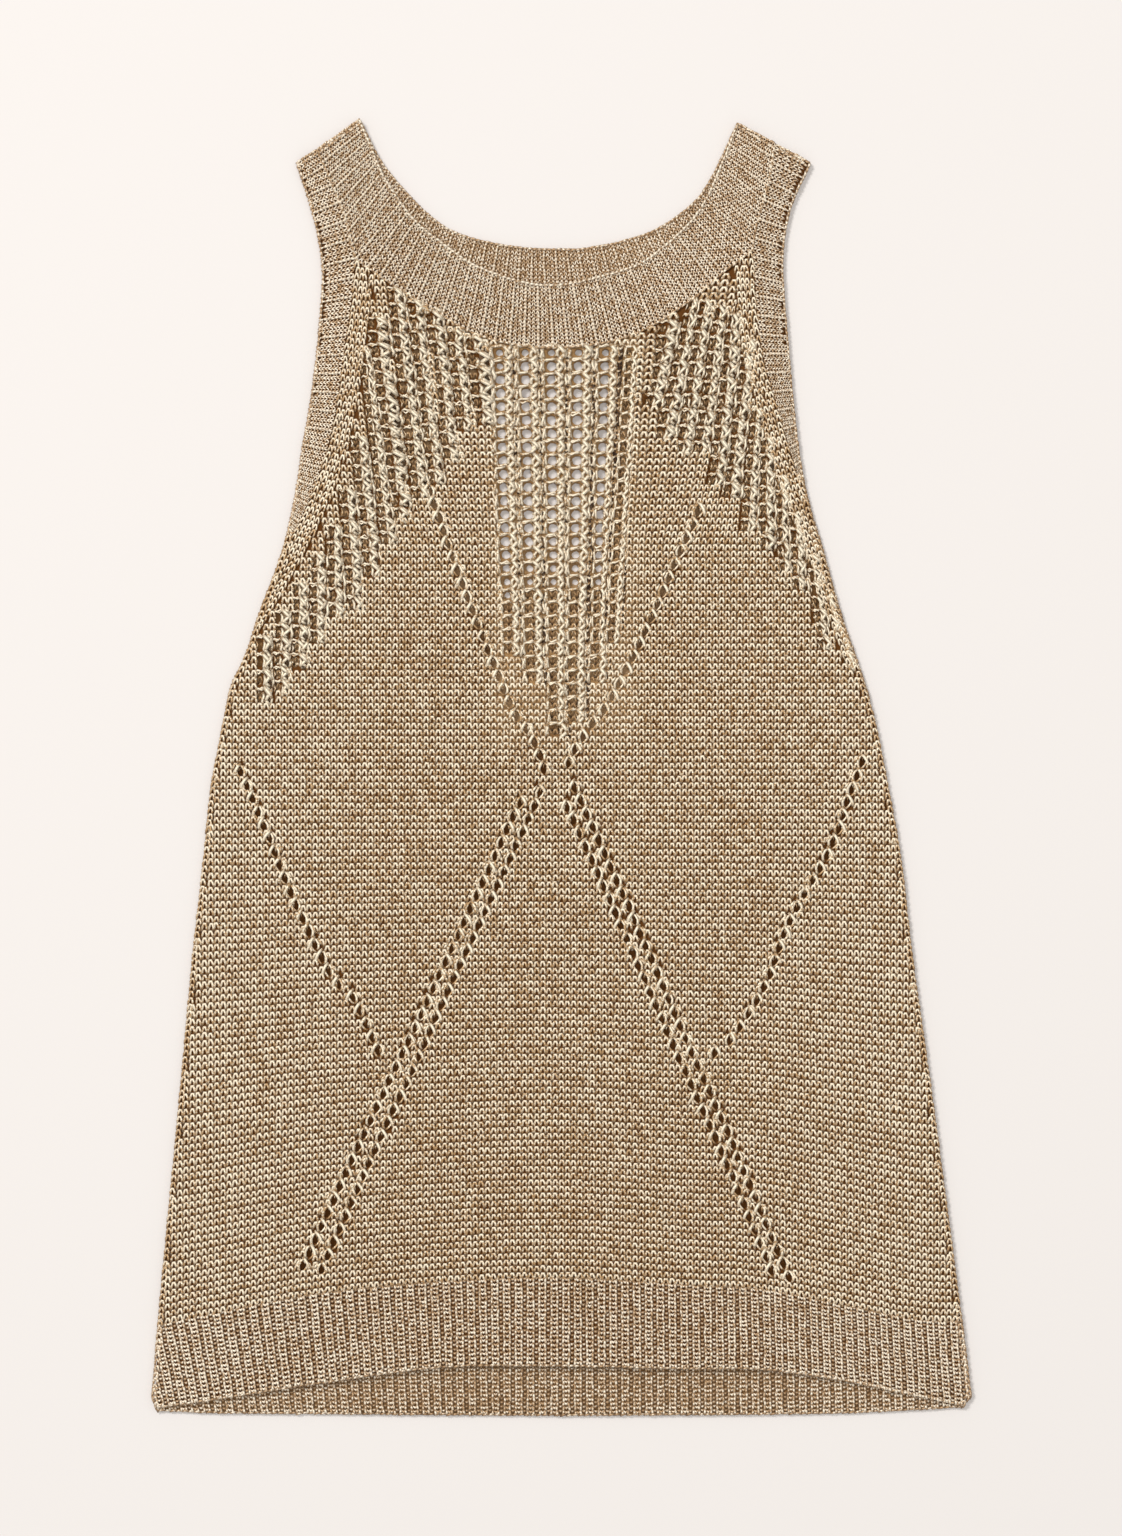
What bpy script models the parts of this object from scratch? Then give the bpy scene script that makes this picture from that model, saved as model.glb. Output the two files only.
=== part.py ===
"""A sleeveless knit top with an openwork yoke, laid flat on its back.

The back pieces rest on the ground and the front pieces lie on them. Each layer has a panel,
a ribbed neckband, two ribbed armhole bands and a ribbed hem. The neck points towards +Y.
"""
import bpy
import bmesh
import numpy as np
from mathutils import Vector
from mathutils.geometry import delaunay_2d_cdt

MM = 0.001

# Driving sizes, in millimetres.
LENGTH = 647.3          # back hem to shoulder point
WALL = 1.5              # thickness of the knit
RIB_RISE = 0.5          # height of a rib over the grooves beside it
LAYER_GAP = 0.3         # space between the back layer and the front layer
SEAM_GAP = 0.3          # space between two pieces along a seam
NECK_RIB = 7.3          # width of one rib
HEM_RIB = 5.9
ARMHOLE_RIBS = (5.0, 9.5)   # a narrow rib and a wide one, in turn
OUTLINE_STEP = 8.0      # longest straight stretch in a panel's outline
SEAM_STEP = 1.0         # the same along a seam before its ribs are placed
CORNER_EASE = 1.5       # how far a panel's corner is cut back along each edge
BAND_END_CUT = 4.5      # how far before the end of its seam an armhole band ends
SAME_POINT = 1e-5       # points closer than this are one
EDGE_POINTS = 81        # points along a side or a hem before it is stretched to its step

BACK_LEVEL = 0.0
FRONT_LEVEL = WALL + RIB_RISE + LAYER_GAP

# All tables are in millimetres: "across" is measured to the right of the middle,
# "up" from the lowest point of the back hem.

# The outline of the top lying flat.  up, left edge, right edge
SIDES = (
    (0.0, -199.0, 196.0),
    (2.5, -202.0, 199.0),
    (7.5, -204.0, 203.0),
    (13.0, -204.2, 204.2),
    (67.0, -199.6, 197.4),
    (158.0, -190.8, 185.3),
    (229.0, -184.2, 175.3),
    (277.0, -178.8, 169.7),
    (312.0, -175.3, 163.5),
    (344.0, -169.3, 157.2),
    (363.0, -165.3, 151.9),
    (379.0, -158.0, 146.5),
    (402.0, -150.3, 138.6),
    (430.0, -139.9, 130.8),
    (457.0, -133.3, 122.8),
    (481.0, -129.5, 118.2),
    (517.0, -123.6, 114.3),
    (562.0, -119.4, 110.6),
    (583.0, -120.4, 110.4),
    (604.0, -125.3, 114.4),
    (625.8, -132.3, 124.3),
)

# Neck openings, from the left shoulder point to the right one.  across, up
FRONT_NECKLINE = (
    (-101.3, 647.3), (-96.8, 636.3), (-88.3, 617.3), (-74.8, 597.8), (-60.8, 585.8), (-38.8, 571.8),
    (-5.8, 563.8), (33.3, 572.3), (49.3, 581.8), (64.3, 595.3), (73.3, 608.8), (81.3, 627.3), (88.3, 645.3),
)
BACK_NECKLINE = (
    (-101.3, 647.3), (-87.8, 622.3), (-64.8, 597.8), (-47.3, 588.3), (-23.8, 583.3), (-5.8, 582.0),
    (14.8, 582.8), (42.8, 589.8), (62.8, 602.3), (73.8, 615.3), (88.3, 645.3),
)

# Seams between a neckband and the armhole bands, downwards from the shoulder.  across, up
LEFT_FRONT_SHOULDER = ((-122.3, 632.3), (-113.8, 612.3), (-108.3, 598.8), (-105.6, 587.0), (-102.8, 577.0))
LEFT_BACK_SHOULDER = ((-122.3, 632.3), (-113.8, 612.3), (-108.3, 598.8), (-105.8, 589.8))
RIGHT_FRONT_SHOULDER = ((106.8, 635.3), (103.3, 614.8), (97.8, 595.3), (95.3, 581.3))
RIGHT_BACK_SHOULDER = ((106.8, 635.3), (103.3, 614.8), (97.8, 595.3), (96.3, 589.0))

# Seams between a neckband and its panel, left to right.  across, up
FRONT_NECK_SEAM = (
    (-102.8, 577.0), (-88.3, 566.8), (-66.3, 553.3), (-40.8, 538.8), (-5.8, 532.8), (33.3, 538.3),
    (64.3, 556.3), (76.3, 566.8), (95.3, 581.3),
)
BACK_NECK_SEAM = (
    (-105.8, 589.8), (-90.0, 574.0), (-66.0, 560.0), (-38.0, 552.5), (-5.8, 550.0), (27.0, 552.0),
    (56.0, 560.5), (80.0, 575.5), (96.3, 589.0),
)

# Seams between a panel and its armhole bands, downwards from the end of the shoulder seam.  across, up
LEFT_FRONT_ARMHOLE = (
    (-102.8, 577.0), (-104.8, 554.8), (-108.3, 531.3), (-111.8, 506.3), (-115.8, 486.3),
    (-120.8, 470.3), (-125.8, 457.3), (-130.8, 446.3), (-135.3, 437.7),
)
RIGHT_FRONT_ARMHOLE = (
    (95.3, 581.3), (96.3, 569.8), (97.3, 552.3), (99.8, 532.3), (103.3, 518.3),
    (107.3, 504.8), (112.3, 487.3), (119.1, 464.6),
)
LEFT_BACK_ARMHOLE = (
    (-105.8, 589.8), (-105.4, 557.0), (-107.3, 532.0), (-110.8, 507.0), (-118.5, 463.0), (-130.0, 420.0),
    (-148.0, 376.0), (-157.0, 352.5),
)
RIGHT_BACK_ARMHOLE = (
    (96.3, 589.0), (97.0, 550.0), (101.0, 517.0), (109.0, 467.0), (124.0, 414.0), (142.0, 368.0),
    (148.0, 352.5),
)

# Edges of the two hem ribs.  place from the left side (-1) to the right (1),
# front top, front bottom, back top, back bottom
HEMS = (
    (-1.00, 45.3, 4.0, 46.0, 2.5),
    (-0.85, 51.3, 8.2, 46.0, 1.2),
    (-0.60, 60.8, 16.3, 45.5, 0.8),
    (-0.30, 66.6, 24.4, 45.0, 0.3),
    (0.00, 68.8, 25.3, 44.8, 0.0),
    (0.30, 65.3, 23.9, 45.0, 0.3),
    (0.50, 62.9, 23.4, 45.0, 0.5),
    (0.70, 55.2, 17.5, 45.5, 1.2),
    (0.88, 48.0, 9.6, 46.0, 2.7),
    (1.00, 46.8, 4.8, 46.5, 4.3),
)
HEM_ROWS = (0.0, 0.8, 1.0)      # a hem's rows of points, from its top edge to its bottom edge

# The two layers.  The band ends are the heights at which the armhole bands turn under.
FRONT = {
    "name": "front", "level": FRONT_LEVEL, "hem_top": 1, "hem_bottom": 2,
    "neckline": FRONT_NECKLINE, "neck_seam": FRONT_NECK_SEAM,
    "shoulders": {"left": LEFT_FRONT_SHOULDER, "right": RIGHT_FRONT_SHOULDER},
    "armholes": {"left": LEFT_FRONT_ARMHOLE, "right": RIGHT_FRONT_ARMHOLE},
    "band_ends": {"left": 440.5, "right": 467.5},
}
BACK = {
    "name": "back", "level": BACK_LEVEL, "hem_top": 3, "hem_bottom": 4,
    "neckline": BACK_NECKLINE, "neck_seam": BACK_NECK_SEAM,
    "shoulders": {"left": LEFT_BACK_SHOULDER, "right": RIGHT_BACK_SHOULDER},
    "armholes": {"left": LEFT_BACK_ARMHOLE, "right": RIGHT_BACK_ARMHOLE},
    "band_ends": {"left": 357.0, "right": 357.0},
}

# Straight runs of eyelets, the widest gaps of each lace repeat.
# first across, first up, last across, last up, count, width, height, cut in the back too
EYELET_RUNS = (
    (-30.5, 517.2, -26.0, 382.6, 21, 5.4, 5.2, 17),     # middle of the yoke, six columns
    (-18.0, 523.9, -14.7, 369.1, 24, 5.6, 5.2, 17),
    (-5.0, 523.9, -3.2, 342.2, 28, 5.6, 5.2, 17),
    (8.5, 523.9, 5.8, 348.9, 27, 5.6, 5.2, 17),
    (21.8, 523.9, 17.0, 369.1, 24, 5.4, 5.2, 17),
    (33.8, 523.9, 25.0, 389.3, 21, 4.8, 5.2, 0),
    (-88.8, 497.3, -82.8, 449.8, 8, 4.2, 5.4, 0),       # left side of the yoke
    (-108.8, 458.3, -105.8, 412.3, 7, 4.2, 5.6, 0),
    (-115.3, 440.3, -114.8, 401.3, 6, 4.2, 5.6, 0),
    (60.1, 537.8, 52.8, 505.8, 5, 4.6, 5.6, 0),         # right side of the yoke
    (64.8, 521.8, 60.1, 490.5, 5, 4.6, 5.6, 0),
    (108.0, 464.8, 109.7, 422.8, 6, 4.2, 5.6, 0),
    (123.8, 425.9, 126.3, 398.8, 5, 4.2, 5.0, 0),
    (-79.8, 179.8, -99.8, 138.3, 7, 4.2, 5.0, 0),       # double diagonals, left and right
    (-72.3, 177.3, -91.3, 136.8, 7, 4.2, 5.0, 0),
    (58.3, 179.3, 76.8, 138.8, 7, 4.2, 5.0, 0),
    (62.8, 186.8, 81.8, 143.8, 7, 4.2, 5.0, 0),
)

# Colour, roughness and metallic value of the yarn as it looks in each kind of knitting.
PANEL_YARN = ((0.44, 0.31, 0.17, 1.0), 0.50, 0.30)
RIB_YARN = ((0.40, 0.29, 0.17, 1.0), 0.55, 0.30)


def smooth(rows, pieces=8):
    """A dense line on the smooth curve through the rows of a table."""
    points = np.array(rows, float)
    padded = np.vstack((2 * points[0] - points[1], points, 2 * points[-1] - points[-2]))
    curve = []
    for before, start, end, after in zip(padded, padded[1:], padded[2:], padded[3:]):
        for t in np.arange(pieces) / pieces:
            bend = (2 * before - 5 * start + 4 * end - after) * t ** 2
            twist = (3 * start - before - 3 * end + after) * t ** 3
            curve.append(start + 0.5 * ((end - before) * t + bend + twist))
    curve.append(points[-1])
    return np.array(curve)


def lengths_along(line):
    steps = np.linalg.norm(np.diff(line, axis=0), axis=1)
    return np.concatenate(((0.0,), np.cumsum(steps)))


def points_at(line, lengths):
    """The points of a line at the given lengths from its start."""
    along = lengths_along(line)
    return np.column_stack([np.interp(lengths, along, line[:, axis]) for axis in (0, 1)])


def stretch(line, step, trim_start=0.0, trim_end=0.0):
    """Even points on a line, no further apart than the step, with its ends cut back."""
    first = trim_start
    last = lengths_along(line)[-1] - trim_end
    count = int(np.ceil((last - first) / step))
    return points_at(line, np.linspace(first, last, count + 1))


def aside(line, distance):
    """The line moved to its left by a distance, or to its right if that is negative."""
    along = np.gradient(line, axis=0)
    along /= np.linalg.norm(along, axis=1)[:, None]
    return line + distance * np.column_stack((-along[:, 1], along[:, 0]))


OUTLINE = smooth(SIDES)
HEM_EDGES = smooth(HEMS)


def side_reach(side, up):
    """How far across a side edge lies at a height."""
    column = 1 if side == "left" else 2
    return np.interp(up, OUTLINE[:, 0], OUTLINE[:, column])


def side_line(side, low, high):
    """The side edge from a low height up to a high one."""
    heights = np.linspace(low, high, EDGE_POINTS)
    return np.column_stack((side_reach(side, heights), heights))


def hem_edge(place, column):
    """The height of one edge in the table of hems, at a place across."""
    return np.interp(place, HEM_EDGES[:, 0], HEM_EDGES[:, column])


def hem_line(column):
    """One edge of a hem, from left to right."""
    points = []
    for place in np.linspace(-1.0, 1.0, EDGE_POINTS):
        up = hem_edge(place, column)
        share = (place + 1.0) / 2.0
        across = side_reach("left", up) * (1.0 - share) + side_reach("right", up) * share
        points.append((across, up))
    return np.array(points)


def rib_places(length, widths):
    """The grooves and crests along a band, as shares of its length; crests are the odd ones."""
    ribs = list(widths) * round(length / sum(widths))
    edges = np.concatenate(((0.0,), np.cumsum(ribs))) / sum(ribs)
    places = [edges[0]]
    for start, end in zip(edges, edges[1:]):
        places += [(start + end) / 2.0, end]
    return np.array(places)


def place_vertex(mesh, across, up, height):
    """Add a point of the top to a mesh; the middle of the length lies at the origin."""
    return mesh.verts.new(Vector((across, up - LENGTH / 2.0, height)) * MM)


def knit_material(name, yarn):
    colour, roughness, metallic = yarn
    material = bpy.data.materials.new(name)
    material.use_nodes = True
    shader = material.node_tree.nodes["Principled BSDF"]
    shader.inputs["Base Color"].default_value = colour
    shader.inputs["Roughness"].default_value = roughness
    shader.inputs["Metallic"].default_value = metallic
    material.diffuse_color = colour
    return material


def finish_piece(name, mesh, yarn):
    """Turn a bmesh into an object with its faces outward."""
    bmesh.ops.recalc_face_normals(mesh, faces=mesh.faces)
    data = bpy.data.meshes.new(name)
    mesh.to_mesh(data)
    mesh.free()
    data.materials.append(knit_material(name + "_yarn", yarn))
    piece = bpy.data.objects.new(name, data)
    bpy.context.scene.collection.objects.link(piece)
    return piece


def ribbed_wall(name, columns, level):
    """A wall of knit whose columns are grooves and crests in turn, over a plain underside."""
    mesh = bmesh.new()
    top, bottom = [], []
    for index, column in enumerate(columns):
        height = level + WALL + (RIB_RISE if index % 2 else 0.0)
        top.append([place_vertex(mesh, across, up, height) for across, up in column])
        bottom.append([place_vertex(mesh, across, up, level) for across, up in column])
    rows = len(columns[0])
    for i in range(len(columns) - 1):
        for j in range(rows - 1):
            for side in (top, bottom):
                mesh.faces.new((side[i][j], side[i + 1][j], side[i + 1][j + 1], side[i][j + 1]))
        for j in (0, rows - 1):
            mesh.faces.new((top[i][j], top[i + 1][j], bottom[i + 1][j], bottom[i][j]))
    for i in (0, len(columns) - 1):
        for j in range(rows - 1):
            mesh.faces.new((top[i][j], top[i][j + 1], bottom[i][j + 1], bottom[i][j]))
    return finish_piece(name, mesh, RIB_YARN)


def band(name, near, far, widths, level):
    """A ribbed band between two lines; its ribs run across it."""
    far_length = lengths_along(far)[-1]
    places = rib_places(far_length, widths)
    near_points = points_at(near, places * lengths_along(near)[-1])
    far_points = points_at(far, places * far_length)
    columns = [(start, end) for start, end in zip(near_points, far_points)]
    return ribbed_wall(name, columns, level)


def hem(name, layer):
    """A hem rib; its columns run down and its two ends follow the garment's sides."""
    columns = []
    width = lengths_along(hem_line(layer["hem_bottom"]))[-1]
    for share in rib_places(width, (HEM_RIB,)):
        place = 2.0 * share - 1.0
        top, bottom = hem_edge(place, layer["hem_top"]), hem_edge(place, layer["hem_bottom"])
        column = []
        for row in HEM_ROWS:
            up = top + (bottom - top) * row
            across = side_reach("left", up) * (1.0 - share) + side_reach("right", up) * share
            column.append((across, up))
        columns.append(column)
    return ribbed_wall(name, columns, layer["level"])


def eyelet(across, up, width, height):
    """The six corners of an eyelet, points up and down."""
    corners = ((0.0, 0.5), (0.5, 0.25), (0.5, -0.25), (0.0, -0.5), (-0.5, -0.25), (-0.5, 0.25))
    return [(across + x * width, up + y * height) for x, y in corners]


def eyelets(layer):
    """The eyelets cut in the front or the back panel."""
    cut = []
    for across, up, last_across, last_up, count, width, height, back_count in EYELET_RUNS:
        for index in range(count if layer == "front" else back_count):
            share = index / (count - 1)
            cut.append(eyelet(across + (last_across - across) * share,
                              up + (last_up - up) * share, width, height))
    return cut


def panel(name, outline, holes, level):
    """A flat wall of knit inside an outline, with its eyelets cut through."""
    loops = [list(map(tuple, outline))] + holes
    points, edges, owner = [], [], []
    for number, loop in enumerate(loops):
        start = len(points)
        points += [Vector(point) for point in loop]
        owner += [number] * len(loop)
        edges += [(start + i, start + (i + 1) % len(loop)) for i in range(len(loop))]
    triangles_inside = 1
    found = delaunay_2d_cdt(points, edges, [], triangles_inside, SAME_POINT)
    mesh = bmesh.new()
    order = [origins[0] for origins in found[3]]
    top = [place_vertex(mesh, *points[index], level + WALL) for index in order]
    bottom = [place_vertex(mesh, *points[index], level) for index in order]
    for face in found[2]:
        owners = {owner[order[index]] for index in face}
        if len(owners) > 1 or 0 in owners:
            mesh.faces.new([top[index] for index in face])
            mesh.faces.new([bottom[index] for index in reversed(face)])
    count = len(order)
    mesh.verts.index_update()
    mesh.verts.ensure_lookup_table()
    rim = [edge for edge in mesh.edges if edge.is_boundary and edge.verts[0].index < count]
    for edge in rim:
        first, second = (vertex.index for vertex in edge.verts)
        mesh.faces.new((mesh.verts[first], mesh.verts[second],
                        mesh.verts[count + second], mesh.verts[count + first]))
    return finish_piece(name, mesh, PANEL_YARN)


def joined(*lines):
    """One line out of several that follow each other."""
    return np.vstack([lines[0]] + [line[1:] for line in lines[1:]])


def panel_outline(layer):
    """The edge of a panel, counterclockwise from the left end of its hem."""
    hem_top = hem_line(layer["hem_top"])
    armholes, band_ends = layer["armholes"], layer["band_ends"]
    edges = (
        aside(hem_top, SEAM_GAP),
        side_line("right", hem_top[-1][1], band_ends["right"]),
        aside(smooth(armholes["right"])[::-1], SEAM_GAP),
        aside(smooth(layer["neck_seam"])[::-1], SEAM_GAP),
        aside(smooth(armholes["left"]), SEAM_GAP),
        side_line("left", hem_top[0][1], band_ends["left"])[::-1],
    )
    return np.vstack([stretch(edge, OUTLINE_STEP, CORNER_EASE, CORNER_EASE) for edge in edges])


def armhole_band(name, side, layer):
    """The ribbed band of one armhole in one layer, from the shoulder down."""
    outward = -SEAM_GAP if side == "left" else SEAM_GAP
    seam = aside(joined(smooth(layer["shoulders"][side]), smooth(layer["armholes"][side])), outward)
    seam = stretch(seam, SEAM_STEP, 0.0, BAND_END_CUT)
    edge = side_line(side, layer["band_ends"][side], SIDES[-1][0])[::-1]
    return band(name, edge, seam, ARMHOLE_RIBS, layer["level"])


def neckband(name, layer):
    """The ribbed neckband of one layer, from shoulder to shoulder."""
    shoulders = layer["shoulders"]
    seam = joined(smooth(shoulders["left"]), smooth(layer["neck_seam"]), smooth(shoulders["right"])[::-1])
    return band(name, smooth(layer["neckline"]), seam, (NECK_RIB,), layer["level"])


def lay(layer):
    """Make all the pieces of the front or the back."""
    name = layer["name"]
    panel(name, panel_outline(layer), eyelets(name), layer["level"])
    neckband("neckband_" + name, layer)
    armhole_band("armhole_band_left_" + name, "left", layer)
    armhole_band("armhole_band_right_" + name, "right", layer)
    hem("hem_" + name, layer)


for old_object in list(bpy.data.objects):
    bpy.data.objects.remove(old_object, do_unlink=True)
lay(BACK)
lay(FRONT)
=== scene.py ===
"""The looks of a sleeveless knit top laid flat on its back, seen from above.

Each piece is a thin cloth with real yarn on it. The yarn strands are modelled once each and
copied to every stitch of the chart. Lengths are in millimetres until a mesh is made: "across" is
measured to the right of the middle, "up" from the lowest point of the back hem.
"""

import bpy
import numpy as np
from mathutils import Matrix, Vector
from mathutils.geometry import delaunay_2d_cdt


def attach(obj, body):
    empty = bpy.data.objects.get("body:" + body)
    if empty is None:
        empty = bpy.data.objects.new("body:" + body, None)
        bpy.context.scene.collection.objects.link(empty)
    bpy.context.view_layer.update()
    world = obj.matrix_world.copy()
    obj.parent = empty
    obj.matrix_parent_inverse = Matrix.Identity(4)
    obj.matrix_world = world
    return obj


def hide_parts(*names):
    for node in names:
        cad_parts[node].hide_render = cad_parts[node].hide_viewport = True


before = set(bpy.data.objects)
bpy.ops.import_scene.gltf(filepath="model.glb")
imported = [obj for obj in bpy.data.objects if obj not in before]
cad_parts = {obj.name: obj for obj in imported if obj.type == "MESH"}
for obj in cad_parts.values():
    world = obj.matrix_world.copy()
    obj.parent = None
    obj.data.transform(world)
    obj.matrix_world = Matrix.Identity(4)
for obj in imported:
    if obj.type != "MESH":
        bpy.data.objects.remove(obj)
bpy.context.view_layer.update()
bpy.ops.object.select_all(action="DESELECT")

MM = 0.001
LENGTH = 647.3          # back hem to shoulder point
WALE = 3.07             # width of one stitch
COURSE = 3.3            # height of one stitch
WALES, COURSES = 70, 156        # stitches to each side of the middle, and rows of them
SEED = 7

# Heights of the cloth's outer face over the floor, and its thickness.
FACE = {"back": 0.9, "front": 3.0}
WAVES = {"back": 0.25, "front": 1.0}    # how much of the soft waves each layer has
CLOTH = 0.6
LOWEST = 0.05           # of any cloth over the floor
SIDE_ROLL = 6.0         # how far in from a side fold the cloth starts to turn down
FOLD_LEVEL = {"back": 1.2, "front": 1.9}
HEM_LIFT = 1.9          # how far the middle of the front hem stands off the back one
HEM_LIFT_REACH = 26.0   # how far up that lift is felt

# The outline of the top as it lies.  up, left edge, right edge
SIDES = (
    (0.0, -199.0, 196.0), (2.5, -202.0, 199.0), (7.5, -204.0, 203.0), (13.0, -204.2, 204.2),
    (67.0, -199.6, 197.4), (158.0, -190.8, 185.3), (229.0, -184.2, 175.3), (277.0, -178.8, 169.7),
    (312.0, -175.3, 163.5), (344.0, -169.3, 157.2), (363.0, -165.3, 151.9), (379.0, -158.0, 146.5),
    (402.0, -150.3, 138.6), (430.0, -139.9, 130.8), (457.0, -133.3, 122.8), (481.0, -129.5, 118.2),
    (517.0, -123.6, 114.3), (562.0, -119.4, 110.6), (583.0, -120.4, 110.4), (604.0, -125.3, 114.4),
    (625.8, -132.3, 124.3),
)

# Neck openings, from the left shoulder point to the right one.  across, up
FRONT_NECKLINE = (
    (-101.3, 647.3), (-96.8, 636.3), (-88.3, 617.3), (-74.8, 597.8), (-60.8, 585.8), (-38.8, 571.8),
    (-5.8, 563.8), (33.3, 572.3), (49.3, 581.8), (64.3, 595.3), (73.3, 608.8), (81.3, 627.3), (88.3, 645.3),
)
BACK_NECKLINE = (
    (-101.3, 647.3), (-87.8, 622.3), (-64.8, 597.8), (-47.3, 588.3), (-23.8, 583.3), (-5.8, 582.0),
    (14.8, 582.8), (42.8, 589.8), (62.8, 602.3), (73.8, 615.3), (88.3, 645.3),
)

# Seams between a neckband and the armhole bands, downwards from the shoulder.  across, up
LEFT_SHOULDER = ((-122.3, 632.3), (-113.8, 612.3), (-108.3, 598.8))
RIGHT_SHOULDER = ((106.8, 635.3), (103.3, 614.8), (97.8, 595.3))

# Seams between a neckband and its panel, left to right.  across, up
FRONT_NECK_SEAM = (
    (-102.8, 577.0), (-88.3, 566.8), (-66.3, 553.3), (-40.8, 538.8), (-5.8, 532.8), (33.3, 538.3),
    (64.3, 556.3), (76.3, 566.8), (95.3, 581.3),
)
BACK_NECK_SEAM = (
    (-105.8, 589.8), (-90.0, 574.0), (-66.0, 560.0), (-38.0, 552.5), (-5.8, 550.0), (27.0, 552.0),
    (56.0, 560.5), (80.0, 575.5), (96.3, 589.0),
)

# Seams between a panel and its armhole bands, downwards.  across, up
LEFT_FRONT_ARMHOLE = (
    (-102.8, 577.0), (-104.8, 554.8), (-108.3, 531.3), (-111.8, 506.3), (-115.8, 486.3),
    (-120.8, 470.3), (-125.8, 457.3), (-130.8, 446.3), (-135.3, 437.7),
)
RIGHT_FRONT_ARMHOLE = (
    (95.3, 581.3), (96.3, 569.8), (97.3, 552.3), (99.8, 532.3), (103.3, 518.3),
    (107.3, 504.8), (112.3, 487.3), (119.1, 464.6),
)
LEFT_BACK_ARMHOLE = (
    (-105.8, 589.8), (-105.4, 557.0), (-107.3, 532.0), (-110.8, 507.0), (-118.5, 463.0), (-130.0, 420.0),
    (-148.0, 376.0), (-157.0, 352.5),
)
RIGHT_BACK_ARMHOLE = (
    (96.3, 589.0), (97.0, 550.0), (101.0, 517.0), (109.0, 467.0), (124.0, 414.0), (142.0, 368.0),
    (148.0, 352.5),
)
# Where the wales beside the armholes run on past the bands, outside the fold.  across, up
LEFT_STRIP_END = ((-142.5, 424.0), (-152.0, 408.0), (-162.0, 391.0), (-171.0, 374.0), (-176.0, 362.0))
RIGHT_STRIP_END = ((126.0, 447.0), (134.5, 425.0), (143.0, 400.0), (152.0, 376.0))
EDGE_WALE = 2.2         # width of the wale that runs along each side fold
STRIP_WALES, STRIP_WALE, STRIP_COURSE = 4, 2.35, 3.2    # the wales that run beside the armholes

# Edges of the two hem ribs.  place from the left side (-1) to the right (1),
# front top, front bottom, back top, back bottom
HEMS = (
    (-1.00, 45.3, 4.0, 46.0, 2.5), (-0.85, 51.3, 8.2, 46.0, 1.2), (-0.60, 60.8, 16.3, 45.5, 0.8),
    (-0.30, 66.6, 24.4, 45.0, 0.3), (0.00, 68.8, 25.3, 44.8, 0.0), (0.30, 65.3, 23.9, 45.0, 0.3),
    (0.50, 62.9, 23.4, 45.0, 0.5), (0.70, 55.2, 17.5, 45.5, 1.2), (0.88, 48.0, 9.6, 46.0, 2.7),
    (1.00, 46.8, 4.8, 46.5, 4.3),
)
HEM_HEIGHT = 45.0
HEM_MIDDLE = 68.8       # top of the front hem in the middle

FRONT = {
    "name": "front", "hem_top": 1, "hem_bottom": 2,
    "neckline": FRONT_NECKLINE, "neck_seam": FRONT_NECK_SEAM,
    "shoulders": {"left": LEFT_SHOULDER + ((-105.6, 587.0), (-102.8, 577.0)),
                  "right": RIGHT_SHOULDER + ((95.3, 581.3),)},
    "armholes": {"left": LEFT_FRONT_ARMHOLE, "right": RIGHT_FRONT_ARMHOLE},
    "band_ends": {"left": 440.5, "right": 467.5},
}
BACK = {
    "name": "back", "hem_top": 3, "hem_bottom": 4,
    "neckline": BACK_NECKLINE, "neck_seam": BACK_NECK_SEAM,
    "shoulders": {"left": LEFT_SHOULDER + ((-105.8, 589.8),), "right": RIGHT_SHOULDER + ((96.3, 589.0),)},
    "armholes": {"left": LEFT_BACK_ARMHOLE, "right": RIGHT_BACK_ARMHOLE},
    "band_ends": {"left": 357.0, "right": 357.0},
}

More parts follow.
